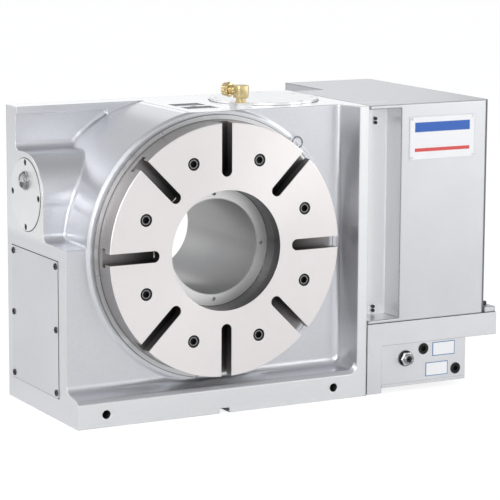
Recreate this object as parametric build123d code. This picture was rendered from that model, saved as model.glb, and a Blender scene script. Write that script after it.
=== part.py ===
from build123d import *
import math
import os

# CNC rotary table for upright use, with a side drive.
# Frame: origin on the spindle axis at the table's working face, X to the right, Y to the back, Z up.
# All sizes are in millimetres. A name that ends in _height is measured up from the base plane.

# Table plate with radial T-slots
table_radius = 200.0
table_thickness = 40.0
register_radius = 95.0
register_seam_depth = 22.0
spigot_radius = 106.0
slot_count = 8
slot_width = 18.0
slot_tee_width = 30.0
slot_throat_depth = 17.0
slot_tee_depth = 11.0
slot_inner_radius = 116.0
table_screw_circle = 150.0
table_screw_count = 8
table_screw_first_angle = 22.5
table_screw_sink = 1.0
table_screw_length = 45.0
table_counterbore_radius = 10.0
rim_chamfer = 1.0

# Spindle
through_radius = 75.5
nose_depth = 43.2
nose_hole_circle = 84.0
nose_hole_radius = 3.0
nose_hole_depth = 12.0
nose_hole_count = 4
flange_margin = 14.0
flange_thickness = 22.0
front_journal_radius = 126.0
brake_shoulder_radius = 124.0
brake_seat_radius = 112.0
wheel_seat_radius = 92.0
wheel_seat_overrun = 4.0
rear_journal_radius = 89.0
spindle_tail_sink = 2.0

# Casting
centre_height = 260.0
barrel_margin = 15.0
top_flat = 2.0
left_margin = 37.0
right_margin = 44.0
base_front = 6.0
column_front = 47.0
body_rear = 277.0
base_step_height = 38.5
ledge_bevel = 6.0
ledge_height = 50.5
ledge_fillet = 12.0
recess_corner = 15.0
shelf_height = 13.0
shelf_fall = 2.0
boss_front = 134.0
boss_radius = 67.0
rear_wall_front = 241.0
lip_front = 234.5
lip_height = 12.0
pocket_fillet = 12.0
crease_fillet = 5.0
crease_limit = 60.0
rib_width = 17.0
rib_slope = 17.0
collar_boss_margin = 14.0
collar_boss_front = 43.0
collar_fillet = 4.0
collar_root = 3.0
keyway_width = 18.0
keyway_depth = 8.0
front_hole_places = (-204.0, 198.0)
front_hole_height = 20.0
front_hole_radius = 7.0
front_hole_depth = 30.0
lift_pad_x = 5.0
lift_pad_ys = (103.0, 148.0)
lift_pad_size = (52.0, 32.0)
lift_pad_sink = 2.0
lift_hole_y = 125.5
lift_hole_radius = 5.0
lift_hole_depth = 30.0

# Bores of the casting along the spindle
flange_bore_clearance = 2.0
bearing_front = 64.0
bearing_web = 97.0
brake_front = 104.0
cavity_radius = 152.0

# Front bearing, rear bearing and their rollers
front_outer_radius = 172.0
front_race_out = 156.0
front_race_in = 142.0
front_roller_count = 20
rear_bearing_start = 207.0
rear_bearing_width = 26.0
rear_outer_radius = 130.0
rear_race_out = 116.0
rear_race_in = 102.0
rear_roller_count = 16
roller_clearance = 0.1
roller_end_gap = 3.5

# Brake
brake_ring_inner = 127.0
brake_ring_length = 11.0
brake_groove_inner = 131.0
brake_groove_outer = 147.0
brake_groove_floor = 2.5
piston_stroke = 1.0
piston_length = 8.0
disc_start = 116.0
disc_thickness = 10.0
disc_outer = 146.0
disc_screw_circle = 118.0
disc_screw_count = 6
disc_screw_first_angle = 15.0
disc_screw_length = 14.0
reaction_gap = 0.4
reaction_thickness = 4.0
reaction_inner = 128.0

# Worm drive
module = 2.5
pressure_angle = 20.0
wheel_teeth = 90
wheel_width = 28.0
wheel_screw_circle = 100.0
wheel_screw_count = 8
wheel_screw_first_angle = 10.0
worm_pitch_radius = 30.0
worm_thread_length = 70.0
worm_thread_root = 1.0
worm_axis_y = 168.0
flank_backlash = 0.35
tooth_root_clearance = 0.7
worm_journal_radius = 22.5
worm_shoulder_radius = 25.5
worm_bore_radius = 46.0
worm_top_drop = 35.0
upper_bearing_drop = 41.0
worm_sleeve_length = 73.0
worm_bearing_width = 22.0
worm_bearing_outer = 36.0
worm_bearing_lip = 6.0
worm_end_room = 4.0
lower_bearing_height = 110.0
worm_seal_length = 8.0
worm_seal_height = 88.0
worm_seal_outer = 32.0
worm_cap_radius = 89.0
worm_cap_centre = (152.0, 163.0)
worm_cap_thickness = 4.0
worm_cap_screw_circle = 78.0
worm_cap_screw_count = 8
worm_cap_screw_first_angle = 22.5
worm_cap_screw_length = 12.0

# Gear train from the motor to the worm
pinion_teeth = 30
idler_teeth = 55
worm_gear_teeth = 60
flank_steps = 3
gear_width = 18.0
gear_top_height = 54.0
gear_hub_radius = 24.0
gear_hub_length = 10.0
gear_shaft_radius = 18.0
gear_shaft_overrun = 4.0
motor_shaft_radius = 12.0
idler_pin_radius = 15.0
idler_pin_head_radius = 21.0
idler_pin_head = 7.0
idler_pin_seat = 12.0
gear_room_gap = 6.0
gear_room_top_height = 68.0
gear_room_bottom_height = 20.0
gear_room_waist = 4.0

# Drive housing under the motor
side_gap = 1.0
plate_margin = 22.0
plate_top_height = 118.0
plate_bottom_height = 80.0
drive_front = 4.0
cover_rear = 388.0
foot_width = 27.0
foot_lift = 2.0
foot_overrun = 12.0
gearbox_wall = 10.5
gearbox_bottom_height = 10.0
gearbox_rear = 262.0
gearbox_setback = 1.0
gearbox_opening_insets = (16.0, 18.0, 40.0, 16.0)
gear_cover_thickness = 5.0
gear_cover_gap = 1.0
gear_cover_screw_inset = 10.0
gear_cover_screw_gap = 6.0
gear_cover_screw_length = 14.0
gear_cover_thread_depth = 20.0
side_bolt_insets = (26.0, 20.0, 38.0)
side_bolt_overrun = 2.0
side_bolt_sink = 1.0
side_bolt_length = 36.0
side_bolt_access = 60.0

# Motor
motor_flange_size = 130.0
motor_flange_corner = 8.0
motor_flange_thickness = 12.0
motor_pilot_radius = 55.0
motor_pilot_height = 5.0
motor_neck_size = 110.0
motor_neck_height = 14.0
motor_body_size = 126.0
motor_body_height = 178.0
motor_corner = 14.0
motor_screw_pocket = 2.5
motor_screw_length = 32.0
encoder_size = 92.0
encoder_height = 48.0
motor_screw_pitch = 102.5
motor_shaft_reach = 82.0
shaft_room = 4.0
motor_plug_drop = 30.0
motor_plug_radii = (14.0, 11.0)
motor_plug_length = 16.0
motor_plug_tail = 18.0
motor_plug_step = 3.0

# Sheet-metal motor cover
groove_width = 58.0
cover_side_room = 29.5
cover_wall = 4.0
cover_corner = 9.0
cover_back_step = 20.0
groove_depth = 46.0
groove_shelf = 6.0
cover_foot_width = 19.0
cover_foot_height = 9.0
cover_foot_overlap = 2.0
foot_screw_inset = 20.0
foot_screw_length = 21.0
groove_screw_inset = 22.0
groove_screws_from_top = (26.4, 33.0)
groove_screws_from_plate = (12.7, 19.3)
groove_screw_length = 10.0
badge_offset = (3.0, 56.5)
badge_size = (125.0, 71.0)
badge_thickness = 1.2
badge_rivet_inset = 4.0
badge_rivet_radius = 2.0
badge_rivet_height = 1.2

# Side covers and the clamp booster on the left face
hatch_front = 77.0
hatch_rear = 258.0
hatch_top = -10.0
hatch_bottom_height = 35.0
hatch_thickness = 7.0
hatch_proud = 1.0
hatch_gap = 0.4
hatch_margin = 18.0
hatch_room_depth = 52.0
hatch_corner = 3.0
hatch_screw_insets = (7.0, 8.0)
hatch_screw_proud = 1.5
hatch_screw_length = 16.0
booster_centre = (200.0, 78.0)
booster_cover_radius = 57.5
booster_cover_thickness = 9.0
booster_bore_radius = 44.0
booster_bore_depth = 64.0
booster_stroke = 25.0
booster_piston_length = 16.0
booster_spigot_length = 6.0
booster_rod_radius = 8.0
booster_rod_length = 44.0
booster_rod_room = 4.0
booster_screw_circle = 51.3
booster_screw_count = 4
booster_screw_sink = 0.5
booster_screw_length = 14.0
sight_centre = (198.0, 101.0)
sight_radius = 15.0
sight_height = 7.5
sight_glass_radius = 9.0
sight_glass_sink = 1.5

# Collar and pull pin at the front
collar_inset = 8.0
collar_reach = 9.0
collar_thickness = 3.0
collar_hole_reach = 4.7
collar_hole_count = 5
collar_hole_first_angle = 45.0
grub_length = 12.0
grub_key_depth = 3.0
grub_sink = 1.0
pin_radius = 3.0
pin_depth = 24.0
pin_tip_gap = 2.0
pin_reach = 6.0
pin_head_radius = 4.4
pin_head_gap = 0.3
ring_radius = 9.0
ring_wire = 1.3
ring_rise = 12.5

# Rear housing
rear_flange_radius = 182.0
rear_flange_thickness = 10.0
rear_screw_circle = 168.0
rear_screw_count = 8
rear_screw_first_angle = 22.5
rear_screw_length = 26.0
rear_seal_outer = 100.0
rear_seal_length = 12.0
rear_seal_sink = 3.0

# Ports and small fittings; places along X count from the motor's axis
port_block_place = (66.0, 80.0)
port_block_size = 26.0
port_block_height = 7.5
elbow_size = 22.0
elbow_height = 28.0
elbow_corner = 3.0
elbow_stand_radius = 8.5
elbow_stand_height = 6.0
elbow_arm_height = 19.0
elbow_arm_radius = 8.0
elbow_arm_length = 34.0
elbow_turn = 24.0
elbow_nut_size = 22.0
elbow_nut_length = 12.0
elbow_nut_overlap = 2.0
elbow_bore = 4.5
elbow_bore_depth = 20.0
air_fitting_offset = -59.5
air_fitting_height = 55.5
air_fitting_radius = 12.5
air_fitting_rim = 2.5
air_fitting_rim_radius = 13.0
air_fitting_hexagon = 9.0
air_fitting_nose_radius = 9.0
air_fitting_length = 13.0
air_fitting_bore = 5.0
air_fitting_wall = 2.0
plug_offsets = (-25.1, 37.9)
plug_heights = (68.1, 29.3)
plug_radius = 8.5
plug_depth = 12.0
plug_end_gap = 2.0
plug_proud = 0.4
plug_key = 9.0
plug_key_depth = 6.0
label_offsets = (14.0, 1.0)
label_heights = (65.5, 32.5)
label_size = (43.0, 23.0)
label_thickness = 0.6
socket_offset = 37.5
socket_drop = 63.0
socket_radius = 17.0
socket_flange = 4.0
socket_wall = 3.0
socket_length = 22.0

# Clearances
fit_clearance = 0.03
seat_clearance = 0.1
hole_clearance = 0.2
running_gap = 0.5

# Cutting tools pass the faces that they open by this much, and joined bodies share as much
past = 1.0
# A point this near to a size counts as lying on it
near = 0.5

# Socket head screws: head radius, head height, shank radius, key size, key depth
m12 = (9.0, 12.0, 6.0, 10.0, 6.0)
m8 = (6.5, 8.0, 4.0, 6.0, 4.0)
m6 = (5.0, 6.0, 3.0, 5.0, 3.0)
m4 = (3.5, 4.0, 2.0, 3.0, 2.0)
m3 = (2.75, 3.0, 1.5, 2.5, 1.5)
m8_thread_depth = 30.0
m8_thread_end = 2.0
m6_thread_depth = 16.0
m4_thread_depth = 14.0


# Places worked out from the sizes above
flange_radius = table_radius - flange_margin
barrel_radius = table_radius + barrel_margin
collar_boss_radius = table_radius + collar_boss_margin
collar_inner = table_radius - collar_inset
collar_outer = table_radius + collar_reach
body_top = barrel_radius - top_flat
body_left = -barrel_radius - left_margin
body_right = barrel_radius + right_margin
flange_back = table_thickness + flange_thickness
worm_x = module * wheel_teeth / 2 + worm_pitch_radius
wheel_start = worm_axis_y - wheel_width / 2
wheel_end = worm_axis_y + wheel_width / 2
lead = math.pi * module
worm_top_end = body_top - worm_top_drop
upper_bearing_top = body_top - upper_bearing_drop
lower_bearing_bottom = lower_bearing_height - centre_height
worm_seal_bottom = worm_seal_height - centre_height
pinion_pitch = module * pinion_teeth / 2
idler_pitch = module * idler_teeth / 2
worm_gear_pitch = module * worm_gear_teeth / 2
idler_x = worm_x + worm_gear_pitch + idler_pitch
motor_x = idler_x + idler_pitch + pinion_pitch
gear_top = gear_top_height - centre_height
gear_bottom = gear_top - gear_width
gear_room_top = gear_room_top_height - centre_height
gear_room_bottom = gear_room_bottom_height - centre_height
side_left = body_right + side_gap
plate_top = plate_top_height - centre_height
plate_bottom = plate_bottom_height - centre_height
foot_right = side_left + foot_width
foot_bottom = foot_lift - centre_height
gearbox_right = motor_x + pinion_pitch + module + gear_room_gap + gearbox_wall
gearbox_bottom = gearbox_bottom_height - centre_height
gearbox_front = drive_front + gearbox_setback
groove_right = side_left + groove_width
groove_back = drive_front + groove_depth
cover_right = motor_x + motor_flange_size / 2 + cover_side_room
plate_right = cover_right + plate_margin
motor_body_bottom = plate_top + motor_flange_thickness
motor_body_top = motor_body_bottom + motor_body_height
hatch_bottom = hatch_bottom_height - centre_height
reaction_start = disc_start + disc_thickness + reaction_gap
left_face = body_left - hatch_proud
booster_x = body_left + booster_cover_thickness


def block(x_from, x_to, y_from, y_to, z_from, z_to):
    """A box between two corners."""
    size = (x_to - x_from, y_to - y_from, z_to - z_from)
    centre = ((x_from + x_to) / 2, (y_from + y_to) / 2, (z_from + z_to) / 2)
    return Pos(*centre) * Box(*size)


def rod_x(radius, x_from, x_to, y, z):
    """A cylinder that lies along X."""
    return Pos((x_from + x_to) / 2, y, z) * Rot(0, 90, 0) * Cylinder(radius, x_to - x_from)


def rod_y(radius, y_from, y_to, x=0.0, z=0.0):
    """A cylinder that lies along Y."""
    return Pos(x, (y_from + y_to) / 2, z) * Rot(90, 0, 0) * Cylinder(radius, y_to - y_from)


def rod_z(radius, z_from, z_to, x, y):
    """A cylinder that stands along Z."""
    return Pos(x, y, (z_from + z_to) / 2) * Cylinder(radius, z_to - z_from)


def ring_y(inner, outer, y_from, y_to):
    """A ring round the spindle axis."""
    return rod_y(outer, y_from, y_to) - rod_y(inner, y_from - past, y_to + past)


def ring_z(inner, outer, z_from, z_to, x, y):
    """A ring round an upright axis."""
    return rod_z(outer, z_from, z_to, x, y) - rod_z(inner, z_from - past, z_to + past, x, y)


def turned_y(*points):
    """A body turned round the spindle axis from (radius, y) points."""
    return revolve(make_face(Polyline(*points, close=True)), Axis.Y)


def circle_places(radius, count, first_angle=0.0):
    """Points (x, z) spaced evenly round the spindle axis."""
    step = 360.0 / count
    angles = [math.radians(first_angle + step * k) for k in range(count)]
    return [(radius * math.cos(a), radius * math.sin(a)) for a in angles]


def socket_screw(size, length):
    """A socket head screw: the head's underside at the origin, the shank down along -Z."""
    head_radius, head_height, shank_radius, key_size, key_depth = size
    head = Pos(0, 0, head_height / 2) * Cylinder(head_radius, head_height)
    shank = Pos(0, 0, -length / 2) * Cylinder(shank_radius, length)
    key = extrude(RegularPolygon(key_size / 2, 6, major_radius=False), key_depth + past)
    return head + shank - Pos(0, 0, head_height - key_depth) * key


def screw_hole(size, length, head_room=0.0):
    """The hole that such a screw needs, with its head sunk by head_room."""
    head_radius, _, shank_radius, _, _ = size
    hole = Pos(0, 0, -length / 2) * Cylinder(shank_radius + hole_clearance, length)
    if head_room > 0:
        sink = Pos(0, 0, head_room / 2) * Cylinder(head_radius + hole_clearance, head_room)
        hole += sink
    return hole


def facing_front(x, y, z):
    """Puts a screw's head towards the front, its shank along +Y."""
    return Pos(x, y, z) * Rot(90, 0, 0)


def facing_back(x, y, z):
    """Puts a screw's head towards the back, its shank along -Y."""
    return Pos(x, y, z) * Rot(-90, 0, 0)


def facing_left(x, y, z):
    """Puts a screw's head towards the left, its shank along +X."""
    return Pos(x, y, z) * Rot(0, -90, 0)


def facing_up(x, y, z):
    """Puts a screw's head upwards."""
    return Pos(x, y, z)


def facing_down(x, y, z):
    """Puts a screw's head downwards."""
    return Pos(x, y, z) * Rot(180, 0, 0)


def set_of(places, piece):
    """A group of separate copies of a piece."""
    return Compound(children=[place * copy_of(piece) for place in places])


def copy_of(piece):
    """A fresh copy, so that each child of a group is its own shape."""
    return Pos(0, 0, 0) * piece


def cut_all(body, places, tool):
    """Takes a tool out of a body at each place."""
    for place in places:
        body -= place * tool
    return body


# Table plate

def table_screw_points():
    """Points (x, z) of the table plate's screws."""
    return circle_places(table_screw_circle, table_screw_count, table_screw_first_angle)


def table_screw_places():
    """Locations of the table plate's screws, heads to the front."""
    return [facing_front(x, table_screw_sink + m12[1], z) for x, z in table_screw_points()]


def tee_slot():
    """The cutter of one T-slot, lying along +X."""
    throat_end = slot_inner_radius + slot_width / 2
    reach = table_radius + past
    tee_front = slot_throat_depth
    tee_back = slot_throat_depth + slot_tee_depth
    throat = block(throat_end, reach, -past, tee_back, -slot_width / 2, slot_width / 2)
    throat += rod_y(slot_width / 2, -past, tee_back, throat_end)
    tee = block(throat_end, reach, tee_front, tee_back, -slot_tee_width / 2, slot_tee_width / 2)
    return throat + tee + rod_y(slot_tee_width / 2, tee_front, tee_back, throat_end)


def make_faceplate():
    """The round table plate with its T-slots, register bore and screw counterbores."""
    plate = turned_y(
        (register_radius, 0),
        (table_radius - rim_chamfer, 0),
        (table_radius, rim_chamfer),
        (table_radius, table_thickness),
        (spigot_radius + fit_clearance, table_thickness),
        (spigot_radius + fit_clearance, register_seam_depth),
        (register_radius, register_seam_depth),
    )
    slot = tee_slot()
    for k in range(slot_count):
        plate -= Rot(0, 360.0 / slot_count * k, 0) * slot
    plate = cut_all(plate, table_screw_places(), screw_hole(m12, table_thickness + past))
    for x, z in table_screw_points():
        plate -= rod_y(table_counterbore_radius, -past, table_screw_sink + m12[1], x, z)
    return plate


def make_faceplate_screws():
    """The socket head screws that hold the table plate to the spindle."""
    return set_of(table_screw_places(), socket_screw(m12, table_screw_length))


# Spindle

def spindle_end():
    """Where the spindle's tail ends, just inside the rear housing's flange."""
    return body_rear + rear_flange_thickness - spindle_tail_sink


def make_spindle():
    """The hollow spindle with its nose, flange and journals."""
    spindle = turned_y(
        (through_radius, nose_depth),
        (register_radius, nose_depth),
        (register_radius, register_seam_depth),
        (spigot_radius, register_seam_depth),
        (spigot_radius, table_thickness),
        (flange_radius, table_thickness),
        (flange_radius, flange_back),
        (front_journal_radius, flange_back),
        (front_journal_radius, bearing_web),
        (brake_shoulder_radius, bearing_web),
        (brake_shoulder_radius, disc_start),
        (brake_seat_radius, disc_start),
        (brake_seat_radius, wheel_start),
        (wheel_seat_radius, wheel_start),
        (wheel_seat_radius, wheel_end + wheel_seat_overrun),
        (rear_journal_radius, wheel_end + wheel_seat_overrun),
        (rear_journal_radius, spindle_end()),
        (through_radius, spindle_end()),
    )
    table_hole = screw_hole(m12, table_thickness + flange_thickness)
    spindle = cut_all(spindle, table_screw_places(), table_hole)
    for x, z in circle_places(nose_hole_circle, nose_hole_count):
        spindle -= rod_y(nose_hole_radius, nose_depth - past, nose_depth + nose_hole_depth, x, z)
    disc_hole = screw_hole(m6, disc_thickness + m6_thread_depth)
    spindle = cut_all(spindle, disc_screw_places(), disc_hole)
    wheel_hole = screw_hole(m6, wheel_width + m6_thread_depth)
    return cut_all(spindle, wheel_screw_places(), wheel_hole)


# Bearings

def bearing_ring(inner, outer, start, width):
    """One plain ring of a roller bearing."""
    return ring_y(inner, outer, start, start + width)


def roller_set(race_in, race_out, start, width, count):
    """Cylindrical rollers between two races."""
    radius = (race_out - race_in) / 2 - roller_clearance
    first = start + roller_end_gap
    last = start + width - roller_end_gap
    points = circle_places((race_in + race_out) / 2, count)
    return Compound(children=[rod_y(radius, first, last, x, z) for x, z in points])


# Brake

def disc_screw_places():
    """Locations of the brake disc's screws, heads to the back."""
    points = circle_places(disc_screw_circle, disc_screw_count, disc_screw_first_angle)
    return [facing_back(x, disc_start + disc_thickness - m6[1], z) for x, z in points]


def make_brake_disc():
    """The disc that the brake clamps."""
    disc = ring_y(brake_seat_radius + fit_clearance, disc_outer, disc_start, disc_start + disc_thickness)
    return cut_all(disc, disc_screw_places(), screw_hole(m6, disc_thickness, m6[1] + past))


def make_brake_cylinder():
    """The fixed ring with the piston's groove."""
    front = brake_front
    back = brake_front + brake_ring_length
    ring = ring_y(brake_ring_inner, cavity_radius - fit_clearance, front, back)
    groove = ring_y(brake_groove_inner, brake_groove_outer, front + brake_groove_floor, back + past)
    return ring - groove


def make_brake_piston():
    """The ring piston that presses on the brake disc."""
    start = disc_start - running_gap / 2 - piston_stroke - piston_length
    inner = brake_groove_inner + fit_clearance
    return ring_y(inner, brake_groove_outer - fit_clearance, start, start + piston_length)


def make_brake_reaction_ring():
    """The fixed ring behind the brake disc."""
    end = reaction_start + reaction_thickness
    return ring_y(reaction_inner, cavity_radius - fit_clearance, reaction_start, end)


# Gears

def gear_ring(teeth, flank):
    """Points round a gear, one tooth centred on +X, from a flank of (radius, half angle) points."""
    tooth = [(radius, -half) for radius, half in flank] + list(reversed(flank))
    points = []
    for k in range(teeth):
        centre = 2 * math.pi * k / teeth
        points += [(radius * math.cos(centre + turn), radius * math.sin(centre + turn))
                   for radius, turn in tooth]
    return points


def rack_flank(teeth):
    """The straight flank of a worm wheel's tooth, root first."""
    pitch = module * teeth / 2
    slope = math.tan(math.radians(pressure_angle))
    half = math.pi * module / 4 - flank_backlash / 2
    rises = (-module - tooth_root_clearance, module)
    return [(pitch + rise, (half - slope * rise) / (pitch + rise)) for rise in rises]


def involute_flank(teeth):
    """The involute flank of a spur gear's tooth, root first, with a radial foot inside the base circle."""
    pitch = module * teeth / 2
    root = pitch - module - tooth_root_clearance
    tip = pitch + module
    base = pitch * math.cos(math.radians(pressure_angle))
    half = (math.pi * module / 4 - flank_backlash / 2) / pitch + involute(pitch, base)
    start = max(root, base)
    radii = [start + (tip - start) * k / flank_steps for k in range(flank_steps + 1)]
    return [(root, half)] + [(radius, half - involute(radius, base)) for radius in radii]


def involute(radius, base):
    """The angle that an involute from the base circle has turned through at a radius."""
    angle = math.acos(min(1.0, base / radius))
    return math.tan(angle) - angle


def spur_gear(teeth, bore, x, turn):
    """A spur gear of the drive train with a hub on its upper side."""
    face = make_face(Polyline(*gear_ring(teeth, involute_flank(teeth)), close=True))
    gear = Pos(x, worm_axis_y, gear_bottom) * Rot(0, 0, turn) * extrude(face, gear_width)
    gear += rod_z(gear_hub_radius, gear_top - past, gear_top + gear_hub_length, x, worm_axis_y)
    return gear - rod_z(bore, gear_bottom - past, gear_top + gear_hub_length + past, x, worm_axis_y)


def idler_turn():
    """The idler's turn that puts a gap where the worm gear's tooth points."""
    return 180.0 + 180.0 / idler_teeth


def pinion_turn():
    """The pinion's turn that puts it in mesh with the idler."""
    idler_phase = -idler_turn() / (360.0 / idler_teeth)
    return 180.0 + (0.5 + idler_phase) * 360.0 / pinion_teeth


def wheel_screw_places():
    """Locations of the worm wheel's screws, heads to the back."""
    points = circle_places(wheel_screw_circle, wheel_screw_count, wheel_screw_first_angle)
    return [facing_back(x, wheel_end - m6[1], z) for x, z in points]


def make_worm_wheel():
    """The bronze worm wheel: slanted teeth from two outlines turned against each other."""
    slant = math.degrees(wheel_width / 2 * lead / (2 * math.pi * worm_pitch_radius)
                         / (module * wheel_teeth / 2))
    outline = gear_ring(wheel_teeth, rack_flank(wheel_teeth))
    front = Plane(origin=(0, wheel_start, 0), x_dir=(1, 0, 0), z_dir=(0, -1, 0))
    back = Plane(origin=(0, wheel_end, 0), x_dir=(1, 0, 0), z_dir=(0, -1, 0))
    front_face = front * Rot(0, 0, slant) * make_face(Polyline(*outline, close=True))
    back_face = back * Rot(0, 0, -slant) * make_face(Polyline(*outline, close=True))
    wheel = loft([front_face, back_face], ruled=True)
    wheel -= rod_y(wheel_seat_radius + fit_clearance, wheel_start - past, wheel_end + past)
    return cut_all(wheel, wheel_screw_places(), screw_hole(m6, wheel_width, m6[1] + past))


def make_worm_shaft():
    """The upright worm: a single-start thread on a shaft with two journals."""
    tip = worm_pitch_radius + module
    root = worm_pitch_radius - module - tooth_root_clearance
    slope = math.tan(math.radians(pressure_angle))
    half = math.pi * module / 4 - flank_backlash / 2
    half_tip = half - slope * module
    half_root = half + slope * (worm_pitch_radius - root + worm_thread_root)
    bottom = -worm_thread_length / 2
    turns_up = round(worm_thread_length / lead)
    start = -lead * (turns_up / 2)
    path = Helix(pitch=lead, height=lead * turns_up, radius=worm_pitch_radius)
    section = Plane.XZ * make_face(Polyline(
        (root - worm_thread_root, -half_root), (tip, -half_tip),
        (tip, half_tip), (root - worm_thread_root, half_root), close=True))
    thread = sweep(section, path=path, is_frenet=True)
    phase = thread_phase(start)
    thread = Pos(worm_x, worm_axis_y, start) * Rot(0, 0, phase) * thread
    shaft = rod_z(root, bottom - lead / 2, -bottom + lead / 2, worm_x, worm_axis_y)
    shaft += thread
    lower_bearing_top = lower_bearing_bottom + worm_bearing_width
    upper_bearing_bottom = upper_bearing_top - worm_bearing_width
    shaft += rod_z(worm_shoulder_radius, lower_bearing_top, upper_bearing_bottom, worm_x, worm_axis_y)
    shaft += rod_z(worm_journal_radius, worm_seal_bottom, worm_top_end, worm_x, worm_axis_y)
    shaft_bottom = gear_bottom - gear_shaft_overrun
    return shaft + rod_z(gear_shaft_radius, shaft_bottom, worm_top_end, worm_x, worm_axis_y)


def thread_phase(start):
    """The worm's turn that puts a gap of the thread level with the spindle on the wheel's side."""
    return start / lead * 360.0


def worm_cap_screw_places():
    """Locations of the upper worm housing's screws."""
    x0, y0 = worm_cap_centre
    points = circle_places(worm_cap_screw_circle, worm_cap_screw_count, worm_cap_screw_first_angle)
    return [facing_up(x0 + x, y0 + y, body_top) for x, y in points]


def make_worm_cap():
    """The upper worm housing: a round cap on top of the casting with a bearing sleeve below."""
    cap_top = body_top + worm_cap_thickness
    cap = rod_z(worm_cap_radius, body_top, cap_top, *worm_cap_centre)
    sleeve_bottom = body_top - worm_sleeve_length
    cap += rod_z(worm_bore_radius - fit_clearance, sleeve_bottom, body_top, worm_x, worm_axis_y)
    room_radius = worm_bearing_outer + fit_clearance
    cap -= rod_z(room_radius, sleeve_bottom - past, upper_bearing_top, worm_x, worm_axis_y)
    cap -= rod_z(room_radius - worm_bearing_lip, upper_bearing_top - past, worm_top_end + worm_end_room,
                 worm_x, worm_axis_y)
    return cut_all(cap, worm_cap_screw_places(), screw_hole(m4, past, worm_cap_thickness + past))


# Casting

def left_section():
    """The stepped side profile of the casting's left half, as a face in the YZ plane."""
    boss_y, boss_z = booster_centre
    lip_bottom = body_top - lip_height
    outline = Polyline(
        (column_front, -centre_height),
        (column_front, shelf_height - shelf_fall),
        (boss_front, shelf_height),
        (boss_front, boss_z),
        (boss_y, boss_z + boss_radius),
        (rear_wall_front, boss_z + boss_radius),
        (rear_wall_front, lip_bottom),
        (lip_front, lip_bottom),
        (lip_front, body_top),
        (body_rear, body_top),
        (body_rear, -centre_height),
        close=True,
    )
    face = make_face(outline)
    face += Pos(boss_y, boss_z) * Circle(boss_radius)
    corners = points_near(face, boss_front, shelf_height)
    corners += points_near(face, rear_wall_front, boss_z + boss_radius)
    return Plane.YZ * fillet(corners, pocket_fillet)


def points_near(face, x, y):
    """A flat face's corners at one place."""
    return [v for v in face.vertices() if abs(v.X - x) < near and abs(v.Y - y) < near]


def recess_section(y, right, bottom):
    """The front recess in a plane across Y: open to the left and upwards, round in its lower corner."""
    left = body_left - past
    top = body_top + past
    face = make_face(Polyline((left, bottom), (right, bottom), (right, top), (left, top), close=True))
    rounded = fillet(points_near(face, right, bottom), recess_corner)
    return Plane(origin=(0, y, 0), x_dir=(1, 0, 0), z_dir=(0, -1, 0)) * rounded


def front_recess():
    """The cutter of the front recess: it narrows to the back, with a bevelled lower edge."""
    rib_inner = body_right - rib_width
    step_top = base_step_height - centre_height
    bevel_back = base_front + ledge_bevel
    bevel_slope = rib_slope * ledge_bevel / (column_front - base_front)
    cutter = loft([
        recess_section(base_front, rib_inner, step_top),
        recess_section(bevel_back, rib_inner - bevel_slope, step_top + ledge_bevel),
        recess_section(column_front, rib_inner - rib_slope, ledge_height - centre_height),
    ], ruled=True)
    back = cutter.faces().sort_by(Axis.Y)[-1]
    inner = [edge for edge in back.edges()
             if edge.center().X > body_left + near and edge.center().Z < body_top - near]
    return fillet(inner, ledge_fillet)


def pocket_creases(body):
    """The edges where the barrel meets the pocket's walls on the upper left."""
    found = []
    for edge in body.edges():
        points = [edge @ t for t in (0.0, 0.25, 0.5, 0.75, 1.0)]
        on_barrel = all(abs(math.hypot(p.X, p.Z) - barrel_radius) < near for p in points)
        inside = all(column_front + past < p.Y < body_rear - past and p.X < -crease_limit for p in points)
        if on_barrel and inside:
            found.append(edge)
    return found


def casting_form():
    """The outer form of the casting before its bores."""
    form = Pos(body_left, 0, 0) * extrude(left_section(), -body_left)
    form += block(0, body_right, column_front, body_rear, -centre_height, body_top)
    reach = barrel_radius + past
    keep = block(-reach, reach, column_front, body_rear, -reach, body_top)
    form += rod_y(barrel_radius, column_front, body_rear) & keep
    form = fillet(pocket_creases(form), crease_fillet)
    slab = block(body_left, body_right, base_front, column_front, -centre_height, body_top)
    form += slab - front_recess()
    collar = turned_y(
        (collar_inner, collar_boss_front),
        (collar_boss_radius, collar_boss_front),
        (collar_boss_radius + collar_fillet, column_front),
        (collar_boss_radius + collar_fillet, column_front + collar_root),
        (collar_inner, column_front + collar_root),
    )
    under_top = block(body_left, body_right, base_front, body_rear, -centre_height, body_top)
    form += collar & under_top
    return form - rod_y(collar_outer + running_gap, base_front, collar_boss_front)


def spindle_bores():
    """The stepped bores round the spindle axis."""
    flange_bore = flange_radius + flange_bore_clearance
    return turned_y(
        (0, collar_boss_front - past),
        (flange_bore, collar_boss_front - past),
        (flange_bore, bearing_front),
        (front_outer_radius, bearing_front),
        (front_outer_radius, bearing_web),
        (front_journal_radius + running_gap, bearing_web),
        (front_journal_radius + running_gap, brake_front),
        (cavity_radius, brake_front),
        (cavity_radius, body_rear + past),
        (0, body_rear + past),
    )


def gear_room():
    """The room of the gear train, from the worm's lower end to the motor pinion."""
    around = module + gear_room_gap
    rooms = ((worm_gear_pitch, worm_x), (idler_pitch, idler_x), (pinion_pitch, motor_x))
    room = Part()
    for pitch, x in rooms:
        room += rod_z(pitch + around, gear_room_bottom, gear_room_top, x, worm_axis_y)
    for pitch, x_from, x_to in ((idler_pitch, worm_x, idler_x), (pinion_pitch, idler_x, motor_x)):
        half = pitch + around - gear_room_waist
        room += block(x_from, x_to, worm_axis_y - half, worm_axis_y + half, gear_room_bottom, gear_room_top)
    return room


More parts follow.
